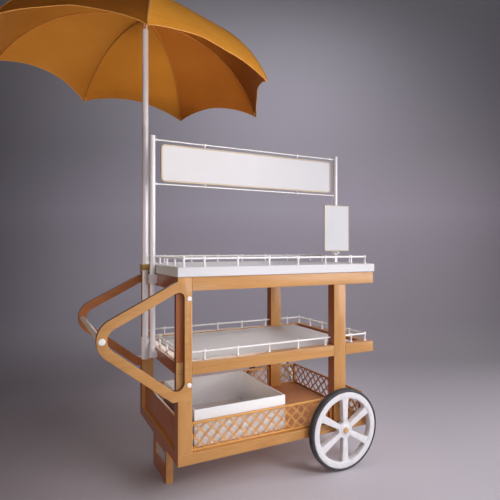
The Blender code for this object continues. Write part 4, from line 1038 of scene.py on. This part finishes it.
def build_ribs():
    """Sleeved ribs with their tips and studs, and the crown hub with its two hinge cheeks and pin."""
    bm = bmesh.new()
    shares = [RIB_START + (RIB_END - RIB_START) * step / RIB_STEPS for step in range(RIB_STEPS + 1)]
    for index in range(RIBS):
        points = strip_on(bm, lambda share, depth: cloth_point(rib_angle(index), share, depth), shares,
                          RIB_DEPTH, 0.02, 0.0046, 0.0042)
        run = (points[-1] - points[-3]).normalized()
        tip = cloth_point(rib_angle(index), RIB_END, 0.005) - run * 0.004
        cap = mm((0, 0), (3, 0), (3.4, 4), (5, 7.5), (5, 9.5), (3, 12), (0, 12.6))
        lathe(bm, cap, tip, aim(run), 14, 1)
        for share in (0.25, 0.5, 0.75):
            spot = cloth_point(rib_angle(index), share, 0.0095)
            inward = cloth_point(rib_angle(index), share, 0.02) - spot
            lathe(bm, mm((0, 0), (1.6, 0), (1.3, 0.8), (0, 1.1)), spot, aim(inward), 10, 1)
    hub = mm((0, -6), (24, -6), (26, -7.5), (26, -11), (23.5, -12.5), (23.5, -14.5), (26, -16),
             (25.5, -18), (0, -18))
    lathe(bm, hub, CROWN, TO_CANOPY, 40)
    for side in (-1, 1):
        part = bmesh.new()
        low, high = sorted((side * 0.0047, side * 0.0125))
        rounded_box(part, (-0.009, low, -0.01), (0.009, high, 0.03), 0.003)
        bmesh.ops.transform(part, matrix=Matrix.Translation(PIVOT) @ TO_CANOPY.to_4x4(), verts=part.verts)
        add_part(bm, part)
        lathe(bm, mm((0, 0), (4.6, 0), (4.6, 0.8), (3.4, 2), (0, 2.4)), PIVOT + HINGE * side * 0.0125,
              aim(HINGE * side), 18, 1)
    rod(bm, PIVOT - HINGE * 0.012, PIVOT + HINGE * 0.012, 0.0029, 12, 1)
    ribs = finish_piece("canopy_ribs", bm, (RIB_SLEEVE, RIB_METAL), "canopy_body", 40)
    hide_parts("rib_frame")


def build_umbrella():
    cloth = build_cloth()
    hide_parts("canopy")
    trim, stitches = build_seams(), build_stitches()
    build_ribs()
    bm = bmesh.new()
    knob = mm((0, 0.8), (20, 0.8), (21.5, 1.6), (19, 2.6), (10, 3.8), (6.2, 5.8), (5.8, 10), (7.8, 12),
              (9, 15), (7.8, 18.8), (4.5, 21), (0, 21.5))
    lathe(bm, knob, CROWN, TO_CANOPY, 32)
    finial = finish_piece("crown_finial", bm, BRASS, "canopy_body", 40)
    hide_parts("finial")


# Studio

STUDIO_TURN = math.radians(-26.8)  # heading of the studio's far wall and of the camera
WALL_RIGHT = (math.cos(STUDIO_TURN), math.sin(STUDIO_TURN), 0.0)
TO_WALL = (-math.sin(STUDIO_TURN), math.cos(STUDIO_TURN), 0.0)
EYE = (-0.5428, -1.9395, 1.0)
FOCAL_PIXELS, IMAGE_PIXELS, SENSOR, SHIFT = 441.5, 500, 36.0, -0.002
LIGHTS = (  # name, place, target, size, watts, colour, spread in degrees
    ("key", (3.4, -1.5, 1.5), (0.2, 0.0, 0.9), (1.3, 1.3), 38, (1.0, 0.97, 0.94), 180),
    ("front", (2.6, -3.3, 1.1), (0.5, 0.0, 0.65), (2.6, 1.0), 3.2, (0.98, 0.98, 1.0), 44),
    ("near", (-0.6, -3.0, 1.1), (0.25, 0.0, 0.3), (1.0, 1.0), 1.1, (1.0, 0.99, 0.98), 40),
    ("overhead", (1.8, -2.2, 3.4), (0.7, -1.1, 0.0), (1.4, 1.4), 5, (1.0, 0.97, 0.98), 75),
    ("window", (1.6, -3.4, 2.6), (0.7, -0.9, 0.0), (1.4, 1.4), 12, (1.0, 0.97, 0.98), 75),
    ("bounce", (0.3, -2.3, 0.2), (-0.1, 0.1, 2.05), (1.4, 0.8), 7.2, (1.0, 0.93, 0.88), 44),
    ("left_fill", (-3.0, -0.5, 0.8), (-0.2, 0.0, 0.6), (1.4, 1.2), 2.3, (1.0, 0.8, 0.62), 45),
    ("rear", (0.9, 2.2, 1.5), (0.5, 0.2, 0.5), (1.6, 0.8), 3.5, (1.0, 0.98, 0.97), 90),
    ("wall_glow", (1.3, 0.91, 3.6), (1.89, 2.63, 2.0), (2.0, 0.6), 10.5, (0.97, 0.95, 1.0), 120))
AMBIENT_TINT = (0.9, 0.86, 0.9)
AMBIENT_FROM = (0.84, -0.46, -0.28)  # the side that the ambient light is strongest on
AMBIENT_RANGE, AMBIENT_STRENGTH = (-0.6, 1.0), (0.015, 0.47)


def backdrop_paper():
    """Pale paper that sweeps up the wall, with painted light and shade: a lighter band part way up the wall,
    darker above it and towards the left, and a painted pool of light on the near floor to the right.
    """
    look = Surface("backdrop_paper", Specular_IOR_Level=0.2)
    height = look.times(look.parts(look.place)["Z"], 0.25)
    # painted light and shade by height: a lighter band part way up the wall, darker above it
    base = look.ramp(height, (0.0, (0.52, 0.49, 0.54)), (0.06, (0.5, 0.47, 0.54)), (0.26, (0.61, 0.57, 0.665)),
                     (0.36, (0.69, 0.65, 0.76)), (0.55, (0.54, 0.52, 0.59)), (0.95, (0.46, 0.45, 0.5)))
    # painted shade to the left and a painted pool of light to the right, on the floor near the cart
    spread = look.plus(look.times(look.dot(look.place, WALL_RIGHT), 0.16), 0.62)
    shade = look.ramp(spread, (0.15, (0.6, 0.57, 0.56)), (0.5, (0.68, 0.65, 0.64)), (0.69, (1.15, 1.15, 1.15)),
                      (0.85, (1.0, 1.0, 1.02)))
    depth = look.times(look.dot(look.place, TO_WALL), 0.25)
    near_floor = look.ramp(depth, (0.32, (1.0, 1.0, 1.0)), (0.66, (0.0, 0.0, 0.0)))
    base = look.mix(near_floor, base, look.tinted(base, shade))
    # painted shade, darker still at the far left
    corner = look.ramp(spread, (0.18, (0.55, 0.55, 0.54)), (0.33, (0.88, 0.88, 0.88)), (0.43, (1, 1, 1)))
    base = look.tinted(base, corner)
    base = look.mix(look.span(look.noise(0.7, 4.0), 0.0, 0.12), base, (0.3, 0.28, 0.3))
    return look.finished(base, 0.9, look.noise(60.0, 3.0), 0.05, 0.001)


def build_backdrop():
    """Floor that sweeps up into a wall behind the cart, in one pale curve."""
    bm = bmesh.new()
    width, front, back, height, bend = 7.0, -4.5, 3.2, 5.0, 1.2
    sweep_angles = [math.pi / 2 * step / 16 for step in range(17)]
    profile = [(front, 0.0)]
    profile += [(back - bend + bend * math.sin(a), bend - bend * math.cos(a)) for a in sweep_angles]
    profile.append((back, height))
    turn = Matrix.Rotation(STUDIO_TURN, 3, "Z")
    for (d0, z0), (d1, z1) in zip(profile, profile[1:]):
        corners = ((-width, d0, z0), (width, d0, z0), (width, d1, z1), (-width, d1, z1))
        bm.faces.new([bm.verts.new(turn @ Vector(corner)) for corner in corners])
    bmesh.ops.remove_doubles(bm, verts=bm.verts, dist=1e-5)
    add_mesh("backdrop", bm, backdrop_paper())


def area_light(name, place, target, size, watts, colour, spread):
    data = bpy.data.lights.new(name, "AREA")
    data.shape = "RECTANGLE"
    data.size, data.size_y = size
    data.energy = watts
    data.color = colour
    data.spread = math.radians(spread)
    lamp = add_object(name, data)
    lamp.location = place
    lamp.visible_camera = False
    lamp.rotation_euler = (Vector(target) - Vector(place)).to_track_quat("-Z", "Y").to_euler()


def build_world():
    """Ambient light that is stronger from the right and from below."""
    world = bpy.data.worlds.new("studio")
    bpy.context.scene.world = world
    world.use_nodes = True
    tree = world.node_tree
    direction = outputs_of(tree, "TexCoord", {})["Generated"]
    facing = outputs_of(tree, "VectorMath", {0: direction, 1: AMBIENT_FROM}, operation="DOT_PRODUCT")["Value"]
    (from_low, from_high), (to_low, to_high) = AMBIENT_RANGE, AMBIENT_STRENGTH
    level = outputs_of(tree, "MapRange", {"Value": facing, "From Min": from_low, "From Max": from_high,
                                          "To Min": to_low, "To Max": to_high})["Result"]
    ambient = tree.nodes["Background"].inputs
    feed(tree, AMBIENT_TINT, ambient["Color"])
    feed(tree, level, ambient["Strength"])


def build_camera():
    camera = bpy.data.cameras.new("camera")
    camera.sensor_width = SENSOR
    camera.lens = FOCAL_PIXELS / IMAGE_PIXELS * SENSOR
    camera.shift_y = SHIFT
    camera.clip_end = 60.0
    eye = add_object("camera", camera)
    eye.location = EYE
    eye.rotation_euler = (math.pi / 2, 0.0, STUDIO_TURN)
    bpy.context.scene.camera = eye
    bpy.context.scene.view_settings.view_transform = "Standard"


for nodes, finish, edge_width, edge_segments in DRESSED:
    for dressed_node in nodes:
        dress(dressed_node, finish, edge_width, edge_segments)
build_bolts("front")
build_bolts("back")
build_leg()
build_fences()
build_galleries()
build_wheel("front")
build_wheel("back")
build_sign()
build_price_board()
build_umbrella()
build_backdrop()
for light in LIGHTS:
    area_light(*light)
build_world()
build_camera()
